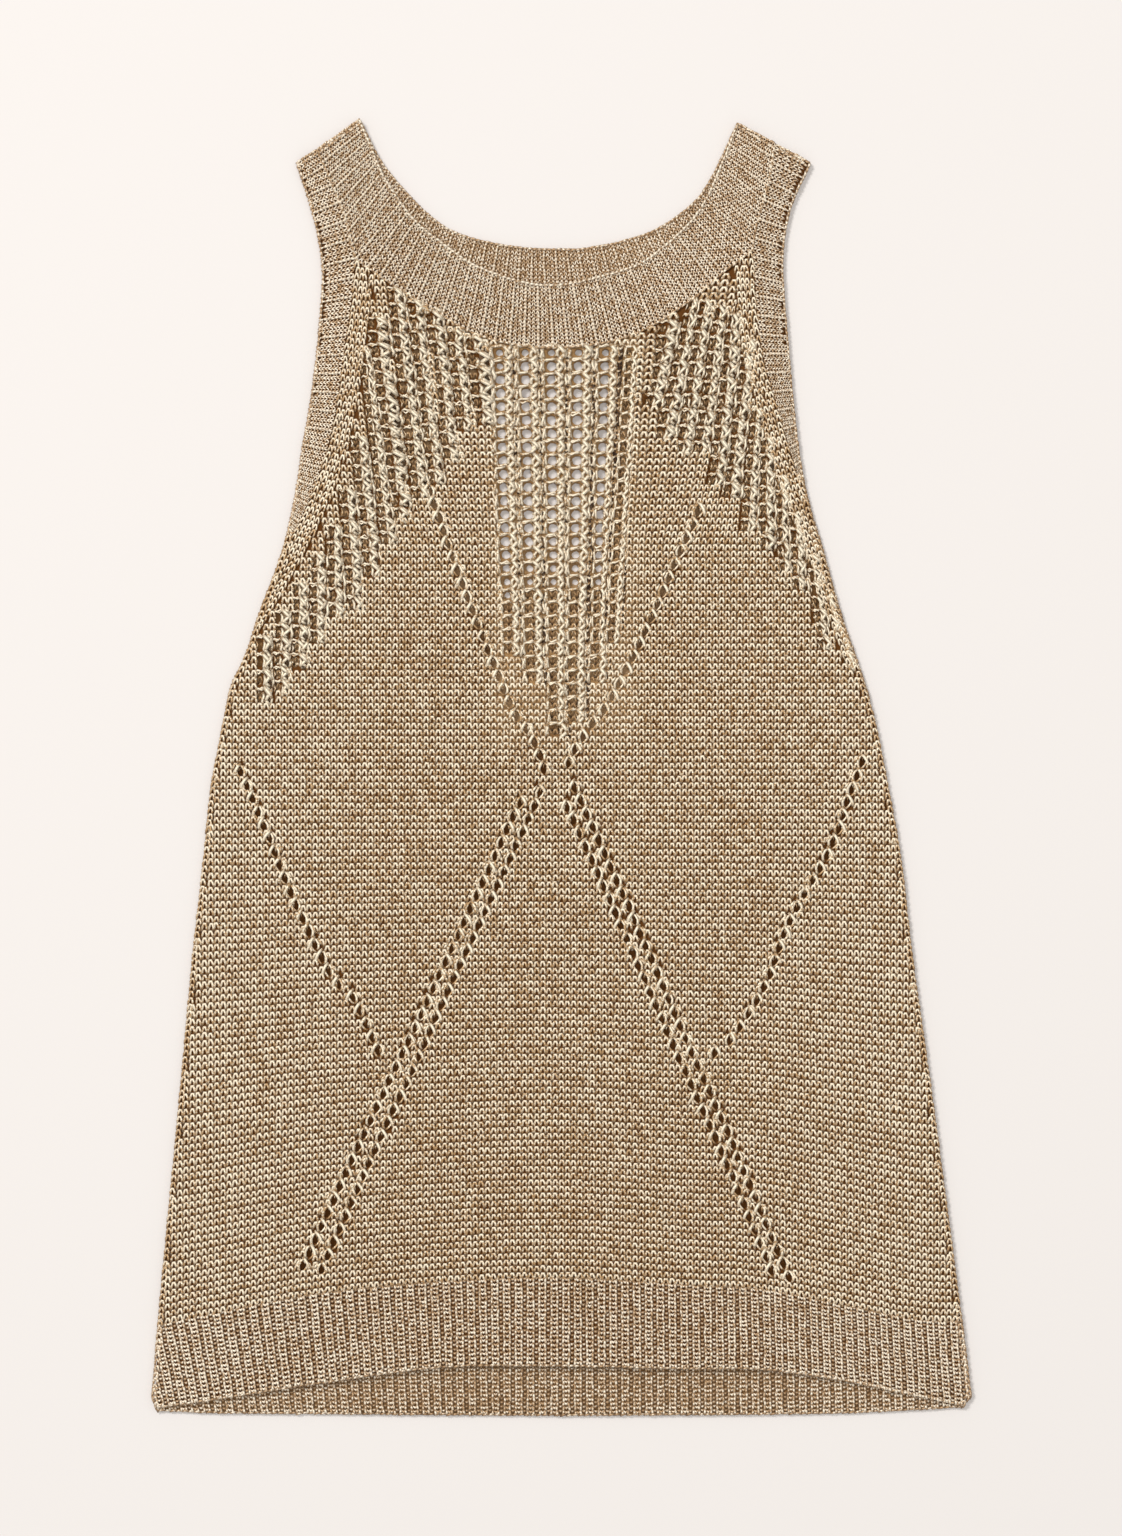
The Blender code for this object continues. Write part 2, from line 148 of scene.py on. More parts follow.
# The openwork of the yoke, charted by columns of holes.
# first across, first up, last across, last up, holes, hole width, hole height, width of the repeat
MESH_COLUMNS = (
    (-30.5, 517.2, -26.0, 382.6, 21, 5.2, 5.0, 12.4),      # middle
    (-18.0, 523.9, -14.7, 369.1, 24, 5.4, 5.0, 12.6),
    (-5.0, 523.9, -3.2, 342.2, 28, 5.4, 5.0, 12.2),
    (8.5, 523.9, 5.8, 348.9, 27, 5.4, 5.0, 12.2),
    (21.8, 523.9, 17.0, 369.1, 24, 5.2, 5.0, 10.4),
    (33.8, 523.9, 25.0, 389.3, 21, 4.6, 5.0, 8.0),
    (-45.0, 527.3, -41.7, 498.3, 5, 4.4, 5.4, 10.5),        # left side
    (-54.3, 531.3, -50.3, 494.8, 6, 4.2, 5.4, 9.2),
    (-64.8, 539.8, -57.3, 479.8, 9, 4.0, 5.6, 9.2),
    (-74.0, 544.8, -64.8, 468.3, 11, 4.0, 5.8, 9.0),
    (-83.9, 551.3, -72.4, 459.5, 13, 4.0, 5.8, 9.0),
    (-93.1, 531.3, -82.8, 449.8, 13, 4.0, 5.2, 9.0),
    (-97.5, 514.8, -88.3, 437.3, 12, 4.0, 5.4, 8.8),
    (-102.9, 484.8, -96.8, 421.3, 10, 4.0, 5.4, 8.4),
    (-108.8, 458.3, -105.3, 404.6, 8, 4.0, 5.6, 8.6),
    (-115.3, 440.3, -114.8, 401.3, 6, 4.0, 5.6, 8.6),
    (-123.8, 426.3, -123.8, 388.3, 6, 3.8, 5.6, 8.6),
    (-132.8, 412.3, -132.8, 376.3, 6, 3.6, 5.4, 8.6),
    (-141.8, 398.3, -141.8, 363.3, 6, 3.4, 5.2, 8.6),
    (-150.8, 384.8, -150.8, 358.8, 4, 3.2, 5.2, 8.6),
    (49.3, 535.3, 43.8, 506.0, 5, 4.2, 5.2, 8.4),           # right side
    (60.1, 537.8, 49.2, 489.8, 7, 4.2, 5.4, 8.2),
    (67.2, 537.4, 58.9, 482.7, 8, 4.2, 5.4, 8.0),
    (75.2, 534.8, 68.0, 482.3, 8, 4.0, 5.4, 7.6),
    (81.8, 529.8, 75.0, 466.3, 9, 3.8, 5.4, 7.8),
    (89.3, 517.3, 82.3, 461.3, 8, 3.8, 5.4, 8.2),
    (95.3, 498.8, 91.3, 443.8, 8, 3.8, 5.6, 7.6),
    (100.5, 483.8, 100.3, 435.3, 7, 3.8, 5.8, 8.0),
    (108.0, 464.8, 109.7, 422.8, 6, 3.8, 5.6, 7.6),
    (114.8, 446.3, 116.8, 414.8, 5, 3.6, 5.6, 8.2),
    (123.8, 425.9, 129.5, 384.8, 7, 3.8, 5.0, 7.6),
    (131.8, 412.3, 134.8, 394.8, 3, 3.2, 5.4, 7.0),
    (141.3, 386.3, 142.3, 376.3, 2, 3.0, 5.0, 6.5),
)
MIDDLE_COLUMNS = 6
BACK_ROWS = 17          # holes of the middle columns that the back has too
WIDE_ROWS = 12          # those of them that are nearly as wide as the front's, before they narrow
BACK_HOLE, NARROWING = 0.95, 0.09
FRONT_HOLE = (1.12, 1.05)   # width and height of the cut behind the yarn, to those of a hole
FIRST_HOLES = 0.7       # size of the holes next to the neckband, to that of the others
NEAR_NECKBAND = 505.0   # columns that start above this carry on to the neckband
REPEATS = {"middle": 12.3, "side": 8.6}     # widths of the repeats that the strands are drawn for
REPEAT_STEP = 6.73      # and their height

# Slanted lines of single eyelets.  across, up of points on the line
EYELET_LINES = (
    ((-18.1, 311.0), (-27.9, 290.6), (-69.8, 200.8), (-79.8, 179.8), (-99.8, 138.3), (-130.0, 72.0)),
    ((-9.5, 317.0), (-12.9, 305.6), (-27.6, 273.9), (-59.8, 205.3), (-72.3, 177.3), (-91.3, 136.8),
     (-121.0, 70.5)),
    ((2.0, 305.3), (16.8, 273.3), (49.3, 199.8), (58.3, 179.3), (76.8, 138.8), (106.0, 70.0)),
    ((6.3, 314.3), (26.8, 268.8), (56.8, 200.3), (62.8, 186.8), (81.8, 143.8), (114.5, 66.5)),
    ((-162.0, 325.0), (-146.0, 289.0), (-133.0, 256.0), (-115.0, 220.0), (-104.8, 209.5), (-89.8, 179.5)),
    ((151.5, 330.0), (142.5, 306.5), (134.0, 283.0), (113.0, 245.0), (102.0, 216.0), (86.0, 190.0),
     (73.0, 178.0)),
    ((-66.0, 462.0), (-52.0, 422.0), (-38.5, 387.0), (-25.0, 354.0), (-14.5, 338.0), (-7.5, 320.0)),
    ((71.5, 458.0), (56.5, 425.0), (40.5, 389.0), (24.0, 357.0), (12.5, 342.0), (2.0, 323.0)),
)
EYELET_PITCH = 6.6      # up, from one eyelet to the next
EYELET_SIZE = (4.0, 5.2)
# Half the width and height of the ovals round it that no plain stitch has its middle or its foot in.
EYELET_CLEAR, FOOT_CLEAR = (2.3, 3.0), (1.7, 2.6)

# How far the wales lean outwards for each millimetre above the level of the armpits.  across, lean
WALE_LEAN = (
    (-210.0, -0.10), (-60.0, -0.12), (-44.0, -0.08), (-30.0, -0.03), (-5.0, -0.01), (9.0, 0.02),
    (22.0, 0.03), (34.0, 0.06), (48.0, 0.14), (62.0, 0.19), (80.0, 0.12), (100.0, 0.0), (210.0, -0.10),
)
LEAN_LEVEL = 433.75
ARCH_TOP = 330.0        # where the courses stop following the arch of the hem

# Rib knitting
NECK_RIB, NECK_ROWS = 7.3, 17
HEM_RIB, HEM_COURSE, HEM_REACH = 5.9, 2.25, 216.0
HEM_ROWS = {"back": 21, "front": 20}
HEM_LEAN = ((-205.0, 0.19), (-120.0, 0.10), (-20.0, 0.0), (120.0, 0.02), (205.0, 0.07))
ARMHOLE_RIB, ARMHOLE_ROWS = 9.8, 8
SMALL_WALE, SMALL_COURSE = 2.45, 1.75
UNDERLAP = 6.0          # how far the back's yarn goes on under the front

# How light the ground behind the strands is, from 0 to about 1, and how light each layer's strands
# are, with the least and the most of each kind of strand.
# The ground is painted shade, dark in the gaps between the stitches and lighter where light comes through
# the openwork.
PAINTED_GROUND_LIGHT = {"back": 0.26, "front": 0.06}
PAINTED_BAND_GROUND_LIGHT = {"back": 0.22, "front": 0.08}
PAINTED_MIDDLE_GROUND_LIGHT = 0.34
# Where the ground is painted lighter: from and to which height, and how far out from its middle, each with
# its fade.
LIT_FROM, LIT_TO, LIT_MIDDLE, LIT_OUT = (320.0, 30.0), (560.0, 12.0), 1.5, (42.0, 8.0)
# Painted shade: the back's strands are darker, as they lie under the front.
PAINTED_LAYER_LIGHT = {"back": 0.9, "front": 1.0}
PLAIN_SHADES = (0.70, 0.96)
# Painted shade: the back's stitches that show through the front's holes are darker.
BACK_PAINTED_SHADES = (0.36, 0.62)
ARMHOLE_WALE_SHADES = (0.6, 1.05)
SIDE_FOLD_SHADES = (0.5, 0.8)
SMALL_SHADES = (0.58, 1.04)
RIB_LINE_SHADES = (0.82, 1.12)
HEM_LEG_SHADES = (0.65, 1.05)
HEM_RUNG_SHADES = (0.6, 1.05)
HEM_LINK_SHADES = (0.4, 0.85)
EDGE_SHADES = (0.4, 0.9)
# Painted shade: the back's neck edge is darker than the front's.
NECK_EDGE_SHADES = {"back": (0.6, 1.0), "front": (0.8, 1.25)}


# Lines and outlines

def smooth(rows, pieces=8):
    """A dense line on the smooth curve through the rows of a table."""
    points = np.array(rows, float)
    padded = np.vstack((2 * points[0] - points[1], points, 2 * points[-1] - points[-2]))
    curve = []
    for before, start, end, after in zip(padded, padded[1:], padded[2:], padded[3:]):
        for t in np.arange(pieces) / pieces:
            bend = (2 * before - 5 * start + 4 * end - after) * t ** 2
            twist = (3 * start - before - 3 * end + after) * t ** 3
            curve.append(start + 0.5 * ((end - before) * t + bend + twist))
    curve.append(points[-1])
    return np.array(curve)


def lengths_along(line):
    steps = np.linalg.norm(np.diff(line, axis=0), axis=1)
    return np.concatenate(((0.0,), np.cumsum(steps)))


def points_at(line, lengths):
    """The points of a line at the given lengths from its start."""
    along = lengths_along(line)
    return np.column_stack([np.interp(lengths, along, line[:, axis]) for axis in (0, 1)])


def even(line, step):
    """Even points on a line, about a step apart."""
    length = lengths_along(line)[-1]
    return points_at(line, np.linspace(0.0, length, max(2, round(length / step) + 1)))


def directions(line):
    along = np.gradient(line, axis=0)
    return along / np.linalg.norm(along, axis=1)[:, None]


def turned(vectors):
    """Vectors turned a quarter to their left."""
    return np.column_stack((-vectors[:, 1], vectors[:, 0]))


def joined(*lines):
    return np.vstack([lines[0]] + [line[1:] for line in lines[1:]])


OUTLINE = smooth(SIDES)
HEM_EDGES = smooth(HEMS)


def side_reach(side, up):
    column = 1 if side == "left" else 2
    return np.interp(up, OUTLINE[:, 0], OUTLINE[:, column])


def side_line(side, low, high):
    heights = np.linspace(low, high, 120)
    return np.column_stack((side_reach(side, heights), heights))


def hem_edge(place, column):
    return np.interp(place, HEM_EDGES[:, 0], HEM_EDGES[:, column])


def place_of(across, up=HEM_HEIGHT):
    """The place from -1 to 1 between the two side folds."""
    left, right = side_reach("left", up), side_reach("right", up)
    return 2.0 * (across - left) / (right - left) - 1.0


def hem_line(column):
    points = []
    for place in np.linspace(-1.0, 1.0, 121):
        up = hem_edge(place, column)
        share = (place + 1.0) / 2.0
        points.append((side_reach("left", up) * (1.0 - share) + side_reach("right", up) * share, up))
    return np.array(points)


def panel_outline(layer):
    """The edge of a panel, counterclockwise from the left end of its hem."""
    hem_top = hem_line(layer["hem_top"])
    armholes, band_ends = layer["armholes"], layer["band_ends"]
    return np.vstack([even(line, 6.0)[:-1] for line in (
        hem_top,
        side_line("right", hem_top[-1][1], band_ends["right"]),
        smooth(armholes["right"])[::-1],
        smooth(layer["neck_seam"])[::-1],
        smooth(armholes["left"]),
        side_line("left", hem_top[0][1], band_ends["left"])[::-1],
    )])


def inside(points, outline):
    """Which points lie inside a closed outline."""
    x, y = points[:, 0], points[:, 1]
    within = np.zeros(len(points), bool)
    for (x0, y0), (x1, y1) in zip(outline, np.roll(outline, -1, axis=0)):
        crosses = (y0 > y) != (y1 > y)
        if y1 != y0:
            within ^= crosses & (x < (x1 - x0) * (y - y0) / (y1 - y0) + x0)
    return within


# The cloth's surface

def face(layer, across, up):
    """The height of a layer's outer face at each point."""
    name = layer["name"]
    wave = (0.30 * np.sin(across / 31.0 + 1.3 * np.sin(up / 90.0))
            + 0.26 * np.sin(up / 38.0 + 0.9 * np.sin(across / 57.0 + 1.0))
            + 0.16 * np.sin((across + 0.7 * up) / 19.0))
    height = FACE[name] + wave * WAVES[name]
    from_fold = np.minimum(across - side_reach("left", up), side_reach("right", up) - across)
    roll = np.clip(1.0 - from_fold / SIDE_ROLL, 0.0, 1.0) ** 2
    if name == "front":
        place = np.clip(place_of(across), -1.0, 1.0)
        near_hem = np.clip(1.0 - (up - hem_edge(place, layer["hem_bottom"])) / HEM_LIFT_REACH, 0.0, 1.3)
        height = height + HEM_LIFT * near_hem ** 2 * (1.0 - np.abs(place) ** 3)
    return height * (1.0 - roll) + FOLD_LEVEL[name] * roll


def to_metres(points):
    """Across, up and height in millimetres as places in the model."""
    return (points - np.array((0.0, LENGTH / 2.0, 0.0))) * MM


# Meshes

def new_piece(name, points, corners, sizes, material, shades):
    """An object of its own from points in millimetres, face corners and face sizes."""
    data = bpy.data.meshes.new(name)
    data.vertices.add(len(points))
    data.vertices.foreach_set("co", to_metres(points).astype(np.float32).ravel())
    data.loops.add(len(corners))
    data.loops.foreach_set("vertex_index", np.asarray(corners, np.int32))
    data.polygons.add(len(sizes))
    starts = np.concatenate(((0,), np.cumsum(sizes)[:-1]))
    data.polygons.foreach_set("loop_start", starts.astype(np.int32))
    data.update(calc_edges=True)
    data.validate()
    data.polygons.foreach_set("use_smooth", np.ones(len(data.polygons), bool))
    attribute = data.attributes.new("shade", "FLOAT", "POINT")
    attribute.data.foreach_set("value", np.asarray(shades, np.float32))
    data.materials.append(material)
    piece = bpy.data.objects.new(name, data)
    bpy.context.scene.collection.objects.link(piece)
    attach(piece, "root")
    return piece


def painted_openwork_light(layer, points):
    """How light the ground is that shows through the openwork: painted light in the middle openwork, painted
    shade elsewhere.
    """
    x, y = points[:, 0], points[:, 1]
    upright = np.clip((y - LIT_FROM[0]) / LIT_FROM[1], 0.0, 1.0)
    upright *= np.clip((LIT_TO[0] - y) / LIT_TO[1], 0.0, 1.0)
    middle = np.clip((LIT_OUT[0] - np.abs(x - LIT_MIDDLE)) / LIT_OUT[1], 0.0, 1.0)
    return upright * np.where(middle > 0.0, PAINTED_MIDDLE_GROUND_LIGHT * middle, PAINTED_GROUND_LIGHT[layer["name"]])


def filling_points(outline, holes, grid=7.0):
    """A grid of points inside an outline, clear of its edge and of the holes."""
    low, high = outline.min(axis=0) + (3.0, 3.0), outline.max(axis=0)
    xs, ys = np.meshgrid(np.arange(low[0], high[0], grid), np.arange(low[1], high[1], grid))
    free = np.column_stack((xs.ravel(), ys.ravel()))
    free = free[inside(free, outline)]
    for hole in holes:
        middle, reach = hole.mean(axis=0), np.abs(hole - hole.mean(axis=0)).max() + 0.4
        free = free[np.abs(free - middle).max(axis=1) > reach]
    away = np.array([np.linalg.norm(outline - point, axis=1).min() for point in free])
    return free[away > 2.0]


def cloth_shell(name, layer, outline, holes, material):
    """A thin closed cloth inside an outline, with holes, that follows its layer's surface."""
    loops = [outline] + holes
    free = filling_points(outline, holes)
    points, owner, edges = [], [], []
    for number, loop in enumerate(loops):
        start = len(points)
        points += [Vector(point) for point in loop]
        owner += [number] * len(loop)
        edges += [(start + i, start + (i + 1) % len(loop)) for i in range(len(loop))]
    points += [Vector(point) for point in free]
    owner += [0] * len(free)
    found = delaunay_2d_cdt(points, edges, [], 1, 1e-5)
    order = [origins[0] for origins in found[3]]
    flat = np.array([points[index][:] for index in order])
    faces = []
    for corners in found[2]:
        owners = {owner[order[index]] for index in corners}
        if len(owners) > 1 or 0 in owners:
            faces.append(tuple(corners))
    outer = face(layer, flat[:, 0], flat[:, 1])
    count = len(flat)
    solid = np.vstack((np.column_stack((flat, outer)), np.column_stack((flat, outer - CLOTH))))
    solid[:, 2] = np.maximum(solid[:, 2], LOWEST)
    uses = {edge: 1 for a, b, c in faces for edge in ((a, b), (b, c), (c, a))}
    rims = [(a, b) for a, b in uses if (b, a) not in uses]
    corners, sizes = [], []
    for a, b, c in faces:
        corners += (a, b, c, count + c, count + b, count + a)
        sizes += (3, 3)
    for a, b in rims:
        corners += (b, a, count + a, count + b)
        sizes.append(4)
    return new_piece(name, solid, corners, sizes, material, painted_openwork_light(layer, solid))


def band_shell(name, layer, near, far, ribs, rows=7, rise=0.45):
    """A thin closed cloth between two lines, ribbed across."""
    columns = 6 * ribs + 1
    shares = np.linspace(0.0, 1.0, columns)
    inner = points_at(near, shares * lengths_along(near)[-1])
    outer = points_at(far, shares * lengths_along(far)[-1])
    t = np.linspace(0.0, 1.0, rows)
    flat = inner[:, None] * (1.0 - t[None, :, None]) + outer[:, None] * t[None, :, None]
    rib = 0.5 - 0.5 * np.cos(2.0 * np.pi * shares * ribs)
    height = face(layer, flat[..., 0], flat[..., 1]) - rise * (1.0 - rib)[:, None]
    top = np.dstack((flat, height)).reshape(-1, 3)
    under = top - np.array((0.0, 0.0, CLOTH))
    solid = np.vstack((top, under))
    solid[:, 2] = np.maximum(solid[:, 2], LOWEST)
    count = len(top)
    corners, sizes = [], []

    def quad(*indices):
        corners.extend(indices)
        sizes.append(4)

    for i in range(columns - 1):
        for j in range(rows - 1):
            a, b, c, d = i * rows + j, (i + 1) * rows + j, (i + 1) * rows + j + 1, i * rows + j + 1
            quad(a, b, c, d)
            quad(count + d, count + c, count + b, count + a)
        for a, b in ((i * rows, (i + 1) * rows), ((i + 2) * rows - 1, (i + 1) * rows - 1)):
            quad(b, a, count + a, count + b)
    last = (columns - 1) * rows
    for j in range(rows - 1):
        quad(j, j + 1, count + j + 1, count + j)
    for j in range(last, last + rows - 1):
        quad(j + 1, j, count + j, count + j + 1)
    # The band's ground is painted shade, dark between the stitches.
    ground = np.full(len(solid), PAINTED_BAND_GROUND_LIGHT[layer["name"]])
    piece = new_piece(name, solid, corners, sizes, FRONT_GROUND, ground)
    face_outwards(piece)
    return piece


def face_outwards(piece):
    """Turn a closed piece's faces outward if its volume says that they face in."""
    piece.data.calc_loop_triangles()
    corner = np.empty(len(piece.data.vertices) * 3)
    piece.data.vertices.foreach_get("co", corner)
    corner = corner.reshape(-1, 3)
    triangles = np.empty(len(piece.data.loop_triangles) * 3, np.int32)
    piece.data.loop_triangles.foreach_get("vertices", triangles)
    a, b, c = (corner[triangles[k::3]] for k in range(3))
    if (a * np.cross(b, c)).sum() < 0.0:
        piece.data.flip_normals()


# Yarn strands, each modelled once along a curve and copied to its stitches

STRAND_ENDS = 0.7       # thickness of a strand's ends, to that of its middle
TURN, RESIZE, RISE = 0.06, 0.04, 0.07   # how much the copies of a strand differ by chance
OUTER_LIGHT, OUTER_START, OUTER_REACH = 0.12, 85.0, 90.0    # the yarn is lighter towards the sides
# Painted shade and highlight: a strand is darker at its foot than on its crown.
PAINTED_FOOT_LIGHT, PAINTED_LIGHT_RISE = 0.38, 1.6      # a strand's light at its foot, and how late it rises from that


def drawn_curve(points, closed):
    """A curve of straight pieces through some points."""
    data = bpy.data.curves.new("yarn", "CURVE")
    data.dimensions = "3D"
    data.twist_mode = "Z_UP"
    spline = data.splines.new("POLY")
    spline.points.add(len(points) - 1)
    for point, place in zip(spline.points, points):
        point.co = (*place, 1.0)
    spline.use_cyclic_u = closed
    line = bpy.data.objects.new("yarn", data)
    bpy.context.scene.collection.objects.link(line)
    return line


def strand(path, width, height):
    """A short length of tape yarn along a path: its points in millimetres and its faces."""
    profile = drawn_curve(((-width / 2, height, 0), (0, 0, 0), (width / 2, height, 0)), True)
    line = drawn_curve(path, False)
    for end in (0, -1):
        line.data.splines[0].points[end].radius = STRAND_ENDS
    line.data.bevel_mode = "OBJECT"
    line.data.bevel_object = profile
    line.data.use_fill_caps = True
    bpy.ops.object.select_all(action="DESELECT")
    line.select_set(True)
    bpy.context.view_layer.objects.active = line
    bpy.ops.object.convert(target="MESH")
    bpy.ops.object.mode_set(mode="EDIT")
    bpy.ops.mesh.select_all(action="SELECT")
    bpy.ops.mesh.remove_doubles(threshold=0.001)
    bpy.ops.mesh.normals_make_consistent(inside=False)
    bpy.ops.object.mode_set(mode="OBJECT")
    data = bpy.context.object.data
    points = np.array([vertex.co[:] for vertex in data.vertices])
    faces = [tuple(polygon.vertices) for polygon in data.polygons]
    bpy.data.objects.remove(bpy.context.object, do_unlink=True)
    bpy.data.objects.remove(profile, do_unlink=True)
    # The heights of its points from 0 to 1, for the painted shade and highlight along it.
    levels = (points[:, 2] - points[:, 2].min()) / np.ptp(points[:, 2])
    return {
        "points": points,
        "levels": levels,
        "corners": np.array([index for corners in faces for index in corners]),
        "turned_over": np.array([index for corners in faces for index in corners[::-1]]),
        "sizes": np.array([len(corners) for corners in faces]),
    }


class Yarn:
    """The strands of one piece, gathered until they are joined into one mesh."""

    def __init__(self, layer):
        self.layer = layer
        self.light = PAINTED_LAYER_LIGHT[layer["name"]]
        self.points, self.corners, self.sizes, self.shades = [], [], [], []
        self.count = 0

    def add(self, shape, origins, across, along, shade, lift=0.0, jitter=0.08, overhang=0.3):
        """Copy a strand to each origin, where across and along are its two directions.

        Those that would stick out over a side of the garment by more than the overhang are left out.
        """
        mirrored = across[:, 0] * along[:, 1] - across[:, 1] * along[:, 0] < 0.0
        for chosen, corners in ((~mirrored, shape["corners"]), (mirrored, shape["turned_over"])):
            if chosen.any():
                self.copy(shape, corners, origins[chosen], across[chosen], along[chosen], shade, lift,
                          jitter, overhang)

    def copy(self, shape, corners, origins, across, along, shade, lift, jitter, overhang):
        number, size = len(origins), len(shape["points"])
        origins = origins + random.normal(0.0, jitter, (number, 2))
        turn = random.normal(0.0, TURN, number)[:, None]
        scale = 1.0 + random.normal(0.0, RESIZE, number)[:, None]
        across = (across + turned(across) * turn) * scale
        along = (along + turned(along) * turn) * scale
        u, v, w = shape["points"].T
        flat = (origins[:, None, :] + across[:, None, :] * u[None, :, None]
                + along[:, None, :] * v[None, :, None])
        x, y = flat[..., 0], flat[..., 1]
        fits = (x > side_reach("left", y) - overhang) & (x < side_reach("right", y) + overhang)
        flat, origins = flat[fits.all(axis=1)], origins[fits.all(axis=1)]
        number = len(flat)
        rise = w[None, :] + lift + random.normal(0.0, RISE, number)[:, None]
        height = face(self.layer, flat[..., 0], flat[..., 1]) + rise
        self.points.append(np.dstack((flat, height)).reshape(-1, 3))
        shift = self.count + size * np.arange(number)
        self.corners.append((corners[None, :] + shift[:, None]).ravel())
        self.sizes.append(np.tile(shape["sizes"], number))
        outer = np.clip((np.abs(origins[:, 0]) - OUTER_START) / OUTER_REACH, 0.0, 1.0)
        # The lower layer's painted shade, times the lightening towards the sides.
        light = self.light * (1.0 + OUTER_LIGHT * outer)
        tone = (random.uniform(*shade, number) * light)[:, None]
        # Painted shade and highlight: each copy is darker at its foot and lighter towards its crown, by the
        # height of each point.
        tone = tone * (PAINTED_FOOT_LIGHT + (1.0 - PAINTED_FOOT_LIGHT) * shape["levels"][None, :] ** PAINTED_LIGHT_RISE)
        self.shades.append(tone.ravel())
        self.count += size * number

    def piece(self, name, slot):
        made = new_piece(name, np.vstack(self.points), np.concatenate(self.corners),
                         np.concatenate(self.sizes), YARNS[slot], np.concatenate(self.shades))
        return made


# Materials

def add_group(name, inputs, outputs):
    """An empty shader node group with its sockets."""
    group = bpy.data.node_groups.new(name, "ShaderNodeTree")
    for kind, label, default in inputs:
        socket = group.interface.new_socket(label, in_out="INPUT", socket_type=kind)
        socket.default_value = default
    for kind, label in outputs:
        group.interface.new_socket(label, in_out="OUTPUT", socket_type=kind)
    return group, group.nodes.new("NodeGroupInput"), group.nodes.new("NodeGroupOutput")


def blend(tree, share, first, second):
    """One colour turning into another, by a share from 0 to 1."""
    node = tree.nodes.new("ShaderNodeMix")
    node.data_type = "RGBA"
    inputs = [node.inputs["Factor"]] + [socket for socket in node.inputs if socket.type == "RGBA"]
    for socket, value in zip(inputs, (share, first, second)):
        if isinstance(value, bpy.types.NodeSocket):
            tree.links.new(value, socket)
        else:
            socket.default_value = value
    return [socket for socket in node.outputs if socket.type == "RGBA"][0]


def scaled(tree, value, factor, shift, clamp=True):
    """A value times a factor plus a shift."""
    node = tree.nodes.new("ShaderNodeMath")
    node.operation, node.use_clamp = "MULTIPLY_ADD", clamp
    tree.links.new(value, node.inputs[0])
    for socket, amount in zip(node.inputs[1:], (factor, shift)):
        if isinstance(amount, bpy.types.NodeSocket):
            tree.links.new(amount, socket)
        else:
            socket.default_value = amount
    return node.outputs[0]


def noise(tree, vector, scale, detail, roughness):
    """Soft random values over the surface."""
    node = tree.nodes.new("ShaderNodeTexNoise")
    tree.links.new(vector, node.inputs["Vector"])
    node.inputs["Scale"].default_value = scale
    node.inputs["Detail"].default_value = detail
    node.inputs["Roughness"].default_value = roughness
    return node.outputs["Fac"]


def make_yarn_group():
    """Shiny yarn: painted shade between the strands, painted highlights on their crowns, painted highlight
    spots and fine fibres.
    """
    group, given, out = add_group(
        "shiny_yarn",
        [("NodeSocketVector", "Place", (0.0, 0.0, 0.0)), ("NodeSocketFloat", "Tone", 0.5),
         ("NodeSocketColor", "Painted Shade", (0.1, 0.05, 0.02, 1.0)),
         ("NodeSocketColor", "Body", (0.5, 0.4, 0.2, 1.0)),
         ("NodeSocketColor", "Painted Highlight", (0.9, 0.8, 0.6, 1.0)), ("NodeSocketFloat", "Base Roughness", 0.4)],
        [("NodeSocketColor", "Colour"), ("NodeSocketFloat", "Roughness"), ("NodeSocketFloat", "Height")])
    place = given.outputs["Place"]
    fibres = noise(group, place, 1400.0, 3.0, 0.65)
    painted_sparkle = noise(group, place, 980.0, 2.0, 0.7)
    patches = noise(group, place, 22.0, 3.0, 0.55)
    tone = scaled(group, patches, 0.12, scaled(group, given.outputs["Tone"], 1.0, -0.06, False), False)
    # Painted shade: low tone, at strand feet and on the ground, turns the colour to the painted shade,
    # mottled at random by the fibres.
    depth = scaled(group, fibres, 0.9, scaled(group, tone, 2.5, -0.68, False))
    body = blend(group, depth, given.outputs["Painted Shade"], given.outputs["Body"])
    # Painted highlight spots, where the tone is high and the sparkle noise peaks.
    painted_sparkle_share = scaled(group, painted_sparkle, 9.0, scaled(group, tone, 4.6, -7.2, False))
    colour = blend(group, painted_sparkle_share, body, given.outputs["Painted Highlight"])
    group.links.new(colour, out.inputs["Colour"])
    group.links.new(scaled(group, fibres, 0.25, given.outputs["Base Roughness"]), out.inputs["Roughness"])
    group.links.new(fibres, out.inputs["Height"])
    return group


YARN_GROUP = make_yarn_group()


